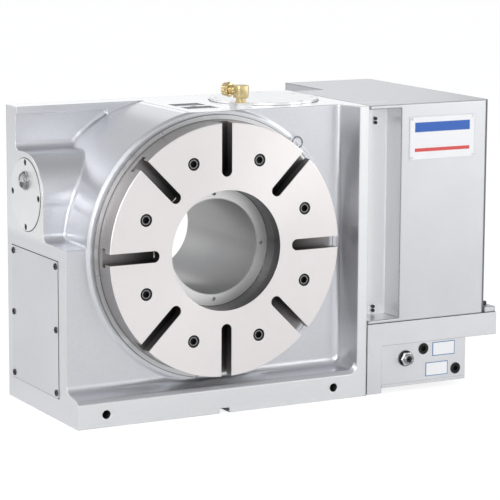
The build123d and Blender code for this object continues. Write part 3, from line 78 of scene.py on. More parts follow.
class Graph:
    """The node tree of a material or world, with short calls for the nodes that the finishes share."""

    def __init__(self, owner: bpy.types.ID) -> None:
        """Empties the owner's tree and gives it an output.

        Args:
            owner: The material or world.
        """
        owner.use_nodes = True
        self.owner = owner
        self.tree = owner.node_tree
        self.tree.nodes.clear()
        kind = "World" if isinstance(owner, bpy.types.World) else "Material"
        self.output = self.tree.nodes.new(f"ShaderNodeOutput{kind}").inputs[0]
        self.place = self.tree.nodes.new("ShaderNodeTexCoord").outputs["Object"]

    def node(self, kind: str, **settings: object) -> bpy.types.Node:
        """Adds a node.

        Args:
            kind: The node's type name.
            settings: Attributes to set on the node.

        Returns:
            The new node.
        """
        made = self.tree.nodes.new(kind)
        for key, value in settings.items():
            setattr(made, key, value)
        return made

    def feed(self, socket: Socket, value: object) -> None:
        """Links an output to a socket, or sets the socket's own value.

        Args:
            socket: The input to fill.
            value: An output socket, a number or a tuple.
        """
        if isinstance(value, Socket):
            self.tree.links.new(value, socket)
        else:
            socket.default_value = value

    def sums(self, operation: str, first: object, second: object = 0.0, third: object = 0.0) -> Socket:
        """A Math node's result."""
        made = self.node("ShaderNodeMath", operation=operation)
        for socket, value in zip(made.inputs, (first, second, third)):
            self.feed(socket, value)
        return made.outputs[0]

    def times(self, first: object, *more: object) -> Socket:
        """The product of some values."""
        for value in more:
            first = self.sums("MULTIPLY", first, value)
        return first

    def plus(self, first: object, second: object) -> Socket:
        """The sum of two values."""
        return self.sums("ADD", first, second)

    def less(self, first: object, second: object) -> Socket:
        """The first value less the second."""
        return self.sums("SUBTRACT", first, second)

    def most(self, first: object, second: object) -> Socket:
        """The larger of two values."""
        return self.sums("MAXIMUM", first, second)

    def away(self, value: object, middle: float) -> Socket:
        """How far a value is from the middle."""
        return self.sums("ABSOLUTE", self.less(value, middle))

    def length(self, first: Socket, second: Socket) -> Socket:
        """The length of a flat vector."""
        return self.sums("SQRT", self.plus(self.times(first, first), self.times(second, second)))

    def axes(self) -> list[Socket]:
        """The x, y and z of the point in the part's frame, in metres."""
        made = self.node("ShaderNodeSeparateXYZ")
        self.feed(made.inputs[0], self.place)
        return list(made.outputs)

    def facing(self) -> list[Socket]:
        """The x, y and z of the surface's own normal."""
        made = self.node("ShaderNodeSeparateXYZ")
        self.feed(made.inputs[0], self.node("ShaderNodeNewGeometry").outputs["True Normal"])
        return list(made.outputs)

    def step(self, value: object, low: float, high: float) -> Socket:
        """An eased ramp from 0 at low to 1 at high."""
        made = self.node("ShaderNodeMapRange", interpolation_type="SMOOTHSTEP", clamp=True)
        for socket, number in zip(made.inputs[:5], (value, low, high, 0.0, 1.0)):
            self.feed(socket, number)
        return made.outputs[0]

    def band(self, value: object, low: float, high: float, out: float, inn: float) -> Socket:
        """1 between two limits, with eased ends.

        Args:
            value: What is compared.
            low: The lower limit.
            high: The upper limit.
            out: How far outside the limits the ease starts.
            inn: How far inside them it ends.

        Returns:
            The band's socket.
        """
        return self.times(self.step(value, low - out, low + inn), self.step(value, high + out, high - inn))

    def stretch(self, scale: Point) -> Socket:
        """The point scaled along each axis, for grain with a direction."""
        made = self.node("ShaderNodeMapping")
        self.feed(made.inputs["Vector"], self.place)
        self.feed(made.inputs["Scale"], scale)
        return made.outputs[0]

    def noise(self, scale: float, detail: float = 3.0, rough: float = 0.5, at: object = None) -> Socket:
        """Smooth noise from 0 to 1.

        Args:
            scale: Cells per metre.
            detail: Octaves.
            rough: Strength of the finer octaves.
            at: The point to read, where it isn't the part's own.

        Returns:
            The noise's socket.
        """
        made = self.node("ShaderNodeTexNoise")
        self.feed(made.inputs["Vector"], self.place if at is None else at)
        self.feed(made.inputs["Scale"], scale)
        self.feed(made.inputs["Detail"], detail)
        self.feed(made.inputs["Roughness"], rough)
        return made.outputs["Fac"]

    def blend(self, share: object, first: object, second: object) -> Socket:
        """A mix of two colours.

        Args:
            share: 0 for the first, 1 for the second.
            first: A colour or socket.
            second: A colour or socket.

        Returns:
            The mixed colour's socket.
        """
        made = self.node("ShaderNodeMix", data_type="RGBA")
        for socket, value in zip((made.inputs[0], made.inputs[6], made.inputs[7]), (share, first, second)):
            self.feed(socket, (*value, 1.0) if isinstance(value, tuple) and len(value) == 3 else value)
        return made.outputs[2]

    def between(self, share: object, first: object, second: object) -> Socket:
        """A mix of two numbers, 0 for the first and 1 for the second."""
        made = self.node("ShaderNodeMix", data_type="FLOAT")
        for socket, value in zip((made.inputs[0], made.inputs[2], made.inputs[3]), (share, first, second)):
            self.feed(socket, value)
        return made.outputs[0]

    def spots(self, noise: Socket, low: float, high: float, share: float, under: object,
              over: object) -> Socket:
        """Spots of one colour over another.

        Args:
            noise: The noise that places them.
            low: The noise where they start.
            high: The noise where they are full.
            share: How strongly they cover.
            under: The colour beneath.
            over: Their colour.

        Returns:
            The mixed colour's socket.
        """
        return self.blend(self.times(self.step(noise, low, high), share), under, over)

    def rounded(self, radius: float) -> Socket:
        """A normal that rounds sharp edges by a radius in metres."""
        made = self.node("ShaderNodeBevel", samples=6)
        self.feed(made.inputs["Radius"], radius)
        return made.outputs[0]

    def edges(self, radius: float) -> Socket:
        """A mask of sharp edges, 1 on them."""
        near = self.node("ShaderNodeVectorMath", operation="DOT_PRODUCT")
        self.feed(near.inputs[0], self.rounded(radius))
        self.feed(near.inputs[1], self.node("ShaderNodeNewGeometry").outputs["True Normal"])
        return self.step(near.outputs["Value"], 0.985, 0.80)

    def bump(self, height: object, strength: float, depth: float, under: object = None) -> Socket:
        """A bumped normal.

        Args:
            height: The height map, 0 to 1.
            strength: How strongly it shows.
            depth: The height of 1, in metres.
            under: The normal beneath it.

        Returns:
            The normal's socket.
        """
        made = self.node("ShaderNodeBump")
        self.feed(made.inputs["Height"], height)
        self.feed(made.inputs["Strength"], strength)
        self.feed(made.inputs["Distance"], depth)
        if under is not None:
            self.feed(made.inputs["Normal"], under)
        return made.outputs[0]

    def light(self, kind: str, strength: object, colour: Colour = WHITE) -> Socket:
        """A Background or Emission shader."""
        made = self.node(kind)
        self.feed(made.inputs["Color"], (*colour, 1.0))
        self.feed(made.inputs["Strength"], strength)
        return made.outputs[0]

    def mixed(self, share: object, first: Socket, second: Socket) -> Socket:
        """A mix of two shaders."""
        made = self.node("ShaderNodeMixShader")
        for socket, value in zip(made.inputs, (share, first, second)):
            self.feed(socket, value)
        return made.outputs[0]

    def surface(self, colour: object, rough: object, normal: object = None,
                **constants: object) -> bpy.types.Material:
        """Closes the tree with a Principled shader.

        Args:
            colour: The base colour.
            rough: The roughness.
            normal: The normal, if any.
            constants: Other sockets by their name with underscores for blanks.

        Returns:
            The finished material.
        """
        shader = self.node("ShaderNodeBsdfPrincipled")
        self.feed(shader.inputs["Base Color"], (*colour, 1.0) if isinstance(colour, tuple) else colour)
        self.feed(shader.inputs["Roughness"], rough)
        if normal is not None:
            self.feed(shader.inputs["Normal"], normal)
        for key, value in constants.items():
            self.feed(shader.inputs[key.replace("_", " ")], value)
        self.feed(self.output, shader.outputs[0])
        return self.owner


def painted(name: str) -> Graph:
    """The tree of a new material."""
    return Graph(bpy.data.materials.new(name))


@dataclass(frozen=True)
class MachinePaint:
    """Silver-grey machine paint: soft metallic sheen, orange peel, and sharp edges painted in the rim colour:
    a painted highlight where it is light, painted shade and dark reflection where it is dark.

    The lit groove wall gives the left, right, front and back limits of the mounting groove's back wall,
    painted near white: painted light on a face that lies in shade.
    """

    name: str
    colour: Colour
    sheen: float = 0.55
    gloss: float = 0.36
    peel: float = 0.12
    edge: float = 0.0012
    # Edge colour and its share: painted highlight when light, painted shade and dark reflection when dark.
    rim: Colour = (0.86, 0.87, 0.89)
    painted_edge_share: float = 0.2
    # Share and normal range of the dark band on rounded upright corners: painted dark reflection.
    corner_shade_share: float = 0.0
    corner_shade_turn: tuple[float, float] = (0.03, 0.22)
    lit_groove_wall: Optional[tuple[float, float, float, float]] = None

    def make(self) -> bpy.types.Material:
        """Builds the paint."""
        graph = painted(self.name)
        cloud = graph.noise(9.0, 4.0, 0.55)
        flake = graph.noise(2600.0, 2.0, 0.6)
        peel = graph.noise(420.0, 3.0, 0.5)
        tone = graph.blend(graph.step(cloud, 0.3, 0.7), shade(self.colour, 0.96), self.colour)
        tone = graph.spots(flake, 0.45, 0.75, 0.22, tone, shade(self.colour, 1.12))
        # Sharp edges take the rim colour: painted highlight when it is light, painted shade and dark
        # reflection when it is dark.
        share = graph.times(graph.edges(self.edge), self.painted_edge_share)
        # Rounded upright corners, turned between front and side, painted dark: painted dark reflection.
        if self.corner_shade_share > 0.0:
            across, ahead, _ = graph.facing()
            turned = graph.sums("ABSOLUTE", graph.times(across, ahead))
            corner = graph.step(turned, *self.corner_shade_turn)
            share = graph.most(share, graph.times(corner, self.corner_shade_share))
        tone = graph.blend(share, tone, self.rim)
        # The groove's back wall painted near white: painted light where the groove is in shade.
        if self.lit_groove_wall is not None:
            left, right, front, back = self.lit_groove_wall
            x, y, _ = graph.axes()
            painted_light = graph.times(graph.band(x, left, right, 0.0, MM), graph.band(y, front, back, 0.0, MM))
            tone = graph.blend(painted_light, tone, PAINTED_GROOVE_LIGHT)
        rough = graph.plus(self.gloss - 0.05, graph.times(cloud, 0.10))
        rough = graph.plus(rough, graph.times(flake, 0.05))
        normal = graph.bump(peel, self.peel, 0.0002, graph.rounded(self.edge))
        return graph.surface(tone, rough, normal, Metallic=self.sheen, Coat_Weight=0.12,
                             Coat_Roughness=0.18)


@dataclass(frozen=True)
class CastPaint:
    """The casting's finish: painted cast faces, and milled faces at the outer planes.

    Each plane is an axis, the place on it, the side that it faces and its share of painted highlight, which
    is near full on the tops and pad floors where light falls. On the left plane the part above boss_from
    takes the full painted highlight, as light falls from above. The pads' numbers are the middle and half
    length in x, then in y, and their walls are painted dark from the pad levels up: painted shade.
    """

    name: str
    colour: Colour
    milled: Colour
    planes: tuple[tuple[int, float, float, float], ...]
    boss_from: float = 0.012
    pads: tuple[float, float, float, float] = (0.005, 0.0275, 0.1255, 0.0400)
    pad_levels: tuple[float, float] = (0.2106, 0.2110)
    # Colour of the pads' upright walls: painted shade.
    pad_wall_shade: Colour = (0.40, 0.40, 0.42)
    # Colour of the painted highlight on the milled faces.
    bright: Colour = (0.985, 0.985, 0.985)
    # Light colour and share on sharp edges: worn paint together with a painted highlight.
    wear_and_highlight: Colour = (0.90, 0.91, 0.93)
    wear_and_highlight_share: float = 0.35
    paint_rough: float = 0.255
    steel_rough: float = 0.32
    near_plane: float = 0.0006
    edge: float = 0.0010
    crease: float = 0.0032

    def make(self) -> bpy.types.Material:
        """Builds the finish, with the milled faces and the pads' walls found by their place."""
        graph = painted(self.name)
        place = graph.axes()
        flat, highlight_gain = self._planes(graph, place)
        cloud = graph.noise(7.0, 4.0, 0.55)
        grain = graph.noise(900.0, 3.0, 0.55)
        swell = graph.noise(38.0, 2.0, 0.5)
        marks = graph.noise(1.0, 3.0, 0.6, graph.stretch((40.0, 40.0, 1800.0)))
        steel = graph.blend(graph.step(marks, 0.35, 0.65), shade(self.milled, 0.97), self.milled)
        # Milled faces lightened by their share: painted highlight.
        steel = graph.blend(highlight_gain, steel, self.bright)
        tone = graph.blend(flat, self._paint(graph, cloud, grain), steel)
        # Sharp edges lightened: worn paint and a painted highlight.
        tone = graph.blend(graph.times(graph.edges(self.edge), self.wear_and_highlight_share), tone, self.wear_and_highlight)
        # The pads' upright walls painted dark: painted shade.
        tone = graph.blend(self._walls(graph, place), tone, self.pad_wall_shade)
        paint_rough = graph.plus(self.paint_rough, graph.times(cloud, 0.08))
        steel_rough = graph.less(graph.plus(self.steel_rough, graph.times(marks, 0.12)),
                                 graph.times(highlight_gain, 0.17))
        height = graph.plus(graph.times(grain, 0.35), swell)
        height = graph.times(height, graph.less(1.0, flat))
        normal = graph.bump(height, 0.045, 0.0006, graph.rounded(self.crease))
        return graph.surface(tone, graph.between(flat, paint_rough, steel_rough), normal, Metallic=0.92,
                             Coat_Weight=0.1, Coat_Roughness=0.15)

    def _planes(self, graph: Graph, place: list[Socket]) -> tuple[Socket, Socket]:
        """Finds the milled faces.

        Args:
            graph: The material's tree.
            place: The point's x, y and z.

        Returns:
            1 on milled faces, and their share of painted highlight.
        """
        flat: object = 0.0
        highlight_gain: object = 0.0
        for axis, at, side, bright in self.planes:
            near = graph.sums("COMPARE", place[axis], at, self.near_plane)
            facing = graph.step(graph.times(graph.facing()[axis], side), 0.95, 0.99)
            here = graph.times(near, facing)
            flat = graph.most(flat, here)
            highlight_gain = graph.most(highlight_gain, graph.times(here, bright))
            # The left face above boss_from: full painted highlight, where light falls from above.
            if axis == 0 and side < 0.0:
                boss = graph.step(place[2], self.boss_from - 0.01, self.boss_from + 0.01)
                highlight_gain = graph.most(highlight_gain, graph.times(here, boss))
        return flat, highlight_gain

    def _paint(self, graph: Graph, cloud: Socket, grain: Socket) -> Socket:
        """The paint's colour with pale grain and dark mottles.

        Args:
            graph: The material's tree.
            cloud: Its slow noise.
            grain: Its fine noise.

        Returns:
            The colour's socket.
        """
        paint = graph.blend(graph.step(cloud, 0.3, 0.7), shade(self.colour, 0.95), self.colour)
        paint = graph.spots(grain, 0.4, 0.8, 0.25, paint, shade(self.colour, 1.1))
        mottle = graph.noise(520.0, 2.0, 0.5)
        return graph.spots(mottle, 0.60, 0.36, 0.30, paint, shade(self.colour, 0.86))

    def _walls(self, graph: Graph, place: list[Socket]) -> Socket:
        """1 on the upright walls of the lifting pads, where shade is painted.

        Args:
            graph: The material's tree.
            place: The point's x, y and z.

        Returns:
            The mask's socket.
        """
        upright = graph.step(graph.sums("ABSOLUTE", graph.facing()[2]), 0.6, 0.4)
        walls = graph.times(graph.step(place[2], *self.pad_levels), upright)
        for axis, middle, half in ((0, *self.pads[:2]), (1, *self.pads[2:])):
            walls = graph.times(walls, graph.step(graph.away(place[axis], middle), half + MM, half))
        return walls


@dataclass(frozen=True)
class TurnedSteel:
    """Steel turned or ground on the spindle axis, with fine rings and sharp edges painted in the rim colour:
    a painted highlight where it is light, painted shade where it is dark.

    Each shade zone is a ring painted dark as painted shade, in bores, at gaps and on the plate's rim: inner
    and outer radius, front and back, and how dark it is. The slot shade, painted dark inside the T-slots, is
    given by the same first four numbers, and is lighter towards its outer part, where more light reaches.
    """

    name: str
    colour: Colour
    gloss: float = 0.26
    rings: float = 1500.0
    slot_shade: Optional[tuple[float, float, float, float]] = None
    metal: float = 1.0
    edge: float = 0.0006
    grooves: float = 0.10
    stretched: float = 0.45
    # Colour of the painted shade inside the T-slots.
    slot_shade_tone: Colour = (0.040, 0.039, 0.038)
    shade_zones: tuple[tuple[float, float, float, float, float], ...] = ()
    # Edge colour and share: painted highlight when light, painted shade when dark.
    rim: Colour = (0.95, 0.95, 0.94)
    painted_edge_share: float = 0.6

    def make(self) -> bpy.types.Material:
        """Builds the steel."""
        graph = painted(self.name)
        x, y, z = graph.axes()
        radius = graph.length(x, z)
        turned = graph.node("ShaderNodeCombineXYZ")
        graph.feed(turned.inputs[0], graph.times(radius, self.rings))
        graph.feed(turned.inputs[1], graph.times(y, self.rings))
        marks = graph.noise(1.0, 3.0, 0.7, turned.outputs[0])
        cloud = graph.noise(14.0, 3.0, 0.5)
        tone = graph.blend(graph.step(marks, 0.35, 0.65), shade(self.colour, 0.95), self.colour)
        tone = graph.spots(cloud, 0.45, 0.75, 0.3, tone, shade(self.colour, 0.93))
        # Rings painted dark: painted shade in bores, at gaps and on the plate's rim.
        for inner, outer, front, back, share in self.shade_zones:
            inside = graph.times(graph.band(radius, inner, outer, 0.3 * MM, 0.0),
                                 graph.band(y, front, back, 0.2 * MM, 0.2 * MM), share)
            tone = graph.blend(inside, tone, PAINTED_SHADE)
        # Sharp edges take the rim colour: painted highlight when light, painted shade when dark.
        tone = graph.blend(graph.times(graph.edges(self.edge), self.painted_edge_share), tone, self.rim)
        rough = graph.plus(self.gloss, graph.times(marks, 0.12))
        # Inside the T-slots: painted shade, lighter towards the outer ends.
        if self.slot_shade is not None:
            inside = self._slots(graph, radius, y)
            tone = graph.blend(inside, tone, self.slot_shade_tone)
            rough = graph.plus(rough, graph.times(inside, 0.15))
        normal = graph.bump(marks, self.grooves, 0.00008, graph.rounded(self.edge))
        return graph.surface(tone, rough, normal, Metallic=self.metal, Anisotropic=self.stretched,
                             Tangent=self._across(graph, x, z))

    def _slots(self, graph: Graph, radius: Socket, y: Socket) -> Socket:
        """How dark the painted shade inside the T-slots is, less towards the outer ends where light reaches.

        Args:
            graph: The material's tree.
            radius: The point's distance from the spindle axis.
            y: Its depth.

        Returns:
            The mask's socket.
        """
        inner, outer, front, back = self.slot_shade
        inside = graph.times(graph.step(radius, inner - MM, inner),
                             graph.step(radius, outer, outer - 0.5 * MM),
                             graph.band(y, front, back, 0.0, 0.8 * MM))
        lit = graph.times(graph.step(radius, 0.62 * outer, outer), 0.26)
        return graph.times(inside, graph.less(0.97, lit))

    def _across(self, graph: Graph, x: Socket, z: Socket) -> Socket:
        """The direction across the turning marks, along which highlights stretch.

        Args:
            graph: The material's tree.
            x: The point's x.
            z: The point's z.

        Returns:
            The tangent's socket.
        """
        along = graph.node("ShaderNodeCombineXYZ")
        graph.feed(along.inputs[0], graph.times(z, -1.0))
        graph.feed(along.inputs[2], x)
        world = graph.node("ShaderNodeVectorTransform", vector_type="VECTOR", convert_from="OBJECT",
                           convert_to="WORLD")
        graph.feed(world.inputs[0], along.outputs[0])
        across = graph.node("ShaderNodeVectorMath", operation="CROSS_PRODUCT")
        graph.feed(across.inputs[0], graph.node("ShaderNodeNewGeometry").outputs["Normal"])
        graph.feed(across.inputs[1], world.outputs[0])
        return across.outputs[0]


@dataclass(frozen=True)
class PlainMetal:
    """A small turned, drawn or plated metal piece."""

    name: str
    colour: Colour
    gloss: float = 0.3
    metal: float = 1.0
    grain: float = 600.0
    edge: float = 0.0003
    # Edge colour and share: worn metal together with painted light, a highlight when light and a dark
    # reflection when dark.
    wear_and_painted_edge: Colour = (0.75, 0.75, 0.76)
    wear_and_painted_edge_share: float = 0.35

    def make(self) -> bpy.types.Material:
        """Builds the metal."""
        graph = painted(self.name)
        fine = graph.noise(self.grain, 3.0, 0.6)
        cloud = graph.noise(60.0, 3.0, 0.5)
        tone = graph.blend(graph.step(cloud, 0.35, 0.7), shade(self.colour, 0.88), self.colour)
        # Sharp edges take the edge colour: worn metal and painted highlight, painted dark reflection on the
        # bright chrome.
        tone = graph.blend(graph.times(graph.edges(self.edge), self.wear_and_painted_edge_share), tone, self.wear_and_painted_edge)
        rough = graph.plus(self.gloss - 0.04, graph.times(fine, 0.12))
        normal = graph.bump(fine, 0.08, 0.00005, graph.rounded(self.edge))
        return graph.surface(tone, rough, normal, Metallic=self.metal)


@dataclass(frozen=True)
class WornHighlitHeads:
    """Black socket screws on the plate's screw circle, each head with a lighter ring: worn metal and a
    painted highlight.

    The ring gives its inner and outer radius, and the face the depth of the heads' tops.
    """

    name: str
    circle: float = 0.150
    count: int = 8
    ring: tuple[float, float] = (0.0054, 0.0071)
    face: float = 0.0016
    black: Colour = (0.012, 0.012, 0.013)
    # Colour of the ring: worn metal and a painted highlight.
    wear_and_highlight: Colour = (0.27, 0.27, 0.27)

    def make(self) -> bpy.types.Material:
        """Builds the finish, with the circle's sectors folded into one."""
        graph = painted(self.name)
        x, y, z = graph.axes()
        radius = graph.length(x, z)
        sector = math.tau / self.count
        turn = graph.plus(graph.sums("ARCTAN2", z, x), 2 * math.tau)
        turn = graph.less(graph.sums("FLOORED_MODULO", turn, sector), sector / 2)
        along = graph.less(graph.times(radius, graph.sums("COSINE", turn)), self.circle)
        aside = graph.times(radius, graph.sums("SINE", turn))
        away = graph.length(along, aside)
        inner, outer = self.ring
        grain = graph.noise(900.0, 3.0, 0.6)
        bright = graph.times(graph.band(away, inner, outer, 0.4 * MM, 0.2 * MM),
                             graph.step(y, self.face, self.face - 0.3 * MM),
                             graph.sums("MULTIPLY_ADD", grain, 0.5, 0.6))
        # The ring on each head lightened: worn metal and a painted highlight.
        tone = graph.blend(bright, self.black, self.wear_and_highlight)
        rough = graph.plus(0.30, graph.times(grain, 0.12))
        normal = graph.bump(grain, 0.08, 0.00005, graph.rounded(0.0003))
        return graph.surface(tone, rough, normal, Metallic=0.8)


@dataclass(frozen=True)
class SoftPlastic:
    """Rubber or moulded plastic with a fine skin."""

    name: str
    colour: Colour
    gloss: float = 0.5
    grain: float = 900.0

    def make(self) -> bpy.types.Material:
        """Builds the plastic."""
        graph = painted(self.name)
        skin = graph.noise(self.grain, 2.0, 0.5)
        tone = graph.blend(skin, shade(self.colour, 0.8), shade(self.colour, 1.2))
        rough = graph.plus(self.gloss - 0.05, graph.times(skin, 0.1))
        normal = graph.bump(skin, 0.15, 0.00008, graph.rounded(0.0004))
        return graph.surface(tone, rough, normal)


@dataclass(frozen=True)
class Enamel:
    """A blank enamelled plate: white field, thin border, and at most a plain band and a thin line.

    The rows give where the band and the line lie, and the reach how wide they are, as shares of the
    plate's half height and half width.
    """

    name: str
    centres: tuple[tuple[float, float], ...]
    half: tuple[float, float]
    border: Colour
    border_width: float
    band: Optional[Colour] = None
    line: Optional[Colour] = None
    field: Colour = (0.93, 0.935, 0.945)
    band_rows: tuple[float, float] = (0.28, 0.72)
    line_rows: tuple[float, float] = (-0.62, -0.46)
    reach: float = 0.84

    def make(self) -> bpy.types.Material:
        """Builds the plate's print from its place in the frame."""
        graph = painted(self.name)
        x, _, z = graph.axes()
        rim: object = 0.0
        tone: object = self.field
        for at_x, at_z in self.centres:
            across = graph.away(x, at_x)
            down = graph.away(z, at_z)
            inside = graph.times(graph.sums("LESS_THAN", across, self.half[0] + MM),
                                 graph.sums("LESS_THAN", down, self.half[1] + MM))
            near = graph.most(graph.sums("GREATER_THAN", across, self.half[0] - self.border_width),
                              graph.sums("GREATER_THAN", down, self.half[1] - self.border_width))
            rim = graph.most(rim, graph.times(inside, near))
        if self.band is not None:
            level = graph.less(z, self.centres[0][1])
            wide = graph.sums("LESS_THAN", graph.away(x, self.centres[0][0]), self.half[0] * self.reach)
            for (low, high), colour in ((self.band_rows, self.band), (self.line_rows, self.line)):
                row = graph.times(graph.sums("GREATER_THAN", level, self.half[1] * low),
                                  graph.sums("LESS_THAN", level, self.half[1] * high))
                tone = graph.blend(graph.times(row, wide), tone, colour)
        tone = graph.blend(rim, tone, self.border)
        speck = graph.noise(500.0, 2.0, 0.5)
        rough = graph.plus(0.22, graph.times(speck, 0.08))
        normal = graph.bump(speck, 0.05, 0.00005)
        return graph.surface(tone, rough, normal, Coat_Weight=0.3, Coat_Roughness=0.08)


@dataclass(frozen=True)
class OilGlass:
    """The clear window of the sight glass, with oil behind its lower part."""

    name: str
    level: float = 0.0985
    clear: Colour = (0.90, 0.91, 0.90)
    oil: Colour = (0.10, 0.095, 0.08)

    def make(self) -> bpy.types.Material:
        """Builds the glass."""
        graph = painted(self.name)
        ripple = graph.noise(300.0, 2.0, 0.5)
        rough = graph.times(ripple, 0.06)
        oil = graph.step(graph.axes()[2], self.level + 0.8 * MM, self.level - 0.4 * MM)
        tone = graph.blend(oil, self.clear, self.oil)
        normal = graph.bump(ripple, 0.05, 0.0001)
        return graph.surface(tone, rough, normal, Transmission_Weight=0.4, IOR=1.49)


class Finishes:
    """Makes each finish once and hands it out by name."""

    def __init__(self) -> None:
        """Defines the finishes of the rotary table."""
        # Each plane: axis, place, facing side and share of painted highlight.
        flat_planes = ((0, -0.252, -1.0, 0.1), (2, 0.213, 1.0, 0.95), (2, 0.211, 1.0, 1.0),
                       (1, 0.006, -1.0, 0.1), (0, 0.259, 1.0, 0.0), (2, -0.260, -1.0, 0.0),
                       (1, 0.277, 1.0, 0.0))
        silver = (0.73, 0.74, 0.768)
        kinds = (
            CastPaint("casting_finish", silver, (0.83, 0.835, 0.845), flat_planes),
            # The cover's and the bracket's dark rim colours are painted shade and dark reflection along their
            # edges; the other paints keep a light rim, a painted highlight.
            MachinePaint("cover_paint", (0.69, 0.695, 0.71), sheen=0.9, gloss=0.34, edge=0.0038,
                         rim=(0.13, 0.13, 0.14), painted_edge_share=1.0, corner_shade_share=0.9,
                         lit_groove_wall=(0.2585, 0.3195, 0.048, 0.052)),
            MachinePaint("bracket_paint", (0.76, 0.765, 0.78), sheen=0.85, gloss=0.36, rim=(0.26, 0.26, 0.27),
                         painted_edge_share=0.6),
            MachinePaint("hatch_paint", (0.80, 0.805, 0.82), sheen=0.9, gloss=0.34, edge=0.0006),
            # A lighter copy of the hatch's paint for the booster cover, standing in for the stronger light on
            # the upper left face: painted light.
            MachinePaint("booster_paint_lit", (0.97, 0.975, 0.98), sheen=0.7, gloss=0.34, edge=0.0006),
            TurnedSteel("plate_steel", (0.915, 0.875, 0.867), gloss=0.30,
                        # Painted shade inside the T-slots.
                        slot_shade=(0.1135, 0.1996, 0.0012, 0.0385),
                        # Painted shade on the wall of the plate's bore and on its rim.
                        shade_zones=((0.0943, 0.0966, 0.0008, 0.0232, 0.95),
                               (0.1994, 0.2012, 0.0008, 0.0405, 0.56)),
                        painted_edge_share=0.15),
            WornHighlitHeads("plate_screw_heads"),
            TurnedSteel("spindle_steel", (0.86, 0.855, 0.85), gloss=0.30, rings=900.0, grooves=0.02,
                        # Painted shade in the spindle's bore and on the wall behind the plate's bore.
                        shade_zones=((0.0600, 0.0766, -0.0100, 0.3000, 0.46),
                               (0.0943, 0.0966, 0.0208, 0.0600, 0.93))),
            TurnedSteel("ring_steel", (0.60, 0.61, 0.62), gloss=0.24),
            TurnedSteel("collar_steel", (0.74, 0.745, 0.75), gloss=0.26,
                        # Painted shade lines at the collar's gaps.
                        shade_zones=((0.2078, 0.2092, 0.0390, 0.0440, 0.7),
                               (0.1990, 0.2012, 0.0390, 0.0440, 0.6))),
            # The worm cap's dark rim colour: painted shade round its edge.
            TurnedSteel("cap_steel", (0.99, 0.99, 0.992), gloss=0.16, rings=400.0, metal=0.65,
                        rim=(0.30, 0.30, 0.31), painted_edge_share=0.8),
            PlainMetal("bearing_steel", (0.70, 0.70, 0.71), gloss=0.18),
            PlainMetal("gear_steel", (0.42, 0.42, 0.44), gloss=0.3),
            PlainMetal("black_oxide", (0.05, 0.05, 0.052), gloss=0.34, metal=0.8, edge=0.0006,
                       wear_and_painted_edge=(0.42, 0.42, 0.42), wear_and_painted_edge_share=0.6),
            PlainMetal("zinc_plate", (0.70, 0.71, 0.73), gloss=0.26),
            PlainMetal("pin_steel", (0.34, 0.34, 0.35), gloss=0.22),
            PlainMetal("blacked_steel", (0.016, 0.016, 0.017), gloss=0.36, metal=0.5,
                       wear_and_painted_edge=(0.16, 0.16, 0.16)),
            # Light edges on the dark nickel and knurled chrome: painted highlight.
            PlainMetal("satin_nickel", (0.34, 0.34, 0.34), gloss=0.20, edge=0.0006, wear_and_painted_edge=(0.97, 0.97, 0.98),
                       wear_and_painted_edge_share=0.9),
            PlainMetal("yellow_brass", (0.74, 0.60, 0.32), gloss=0.22, wear_and_painted_edge=(0.95, 0.86, 0.60)),
            PlainMetal("wheel_bronze", (0.62, 0.40, 0.18), gloss=0.28, wear_and_painted_edge=(0.85, 0.66, 0.40)),
            # The bright chrome's dark edges: painted dark reflection.
            PlainMetal("bright_chrome", (0.80, 0.80, 0.81), gloss=0.14, edge=0.0007,
                       wear_and_painted_edge=(0.10, 0.10, 0.10), wear_and_painted_edge_share=0.9),
            PlainMetal("knurled_chrome", (0.34, 0.34, 0.35), gloss=0.22, edge=0.0004,
                       wear_and_painted_edge=(0.85, 0.85, 0.86)),
            PlainMetal("bright_steel", (0.86, 0.86, 0.87), gloss=0.30, metal=0.8),
            SoftPlastic("black_rubber", (0.02, 0.02, 0.02), gloss=0.6),
            SoftPlastic("black_plastic", (0.03, 0.03, 0.032), gloss=0.45),
            SoftPlastic("motor_paint", (0.03, 0.03, 0.033), gloss=0.4, grain=300.0),
            Enamel("blank_badge", ((0.3955, 0.1565),), (0.0625, 0.0355), (0.72, 0.74, 0.78), 0.0014,
                   (0.02, 0.12, 0.50), (0.72, 0.08, 0.07)),
            Enamel("blank_labels", ((0.4065, -0.1945), (0.3935, -0.2275)), (0.0215, 0.0115),
                   (0.12, 0.25, 0.48), 0.0013),
            OilGlass("oil_glass"),
        )
        self._kinds = {kind.name: kind for kind in kinds}
        self._made: dict[str, bpy.types.Material] = {}

    def get(self, name: str) -> bpy.types.Material:
        """The material of that name, made at its first use."""
        if name not in self._made:
            self._made[name] = self._kinds[name].make()
        return self._made[name]

    def dress(self, nodes: Iterable[str], name: str) -> None:
        """Puts a finish on CAD nodes.

        Args:
            nodes: The nodes' names.
            name: The finish.
        """
        for node in nodes:
            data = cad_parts[node].data
            data.materials.clear()
            data.materials.append(self.get(name))


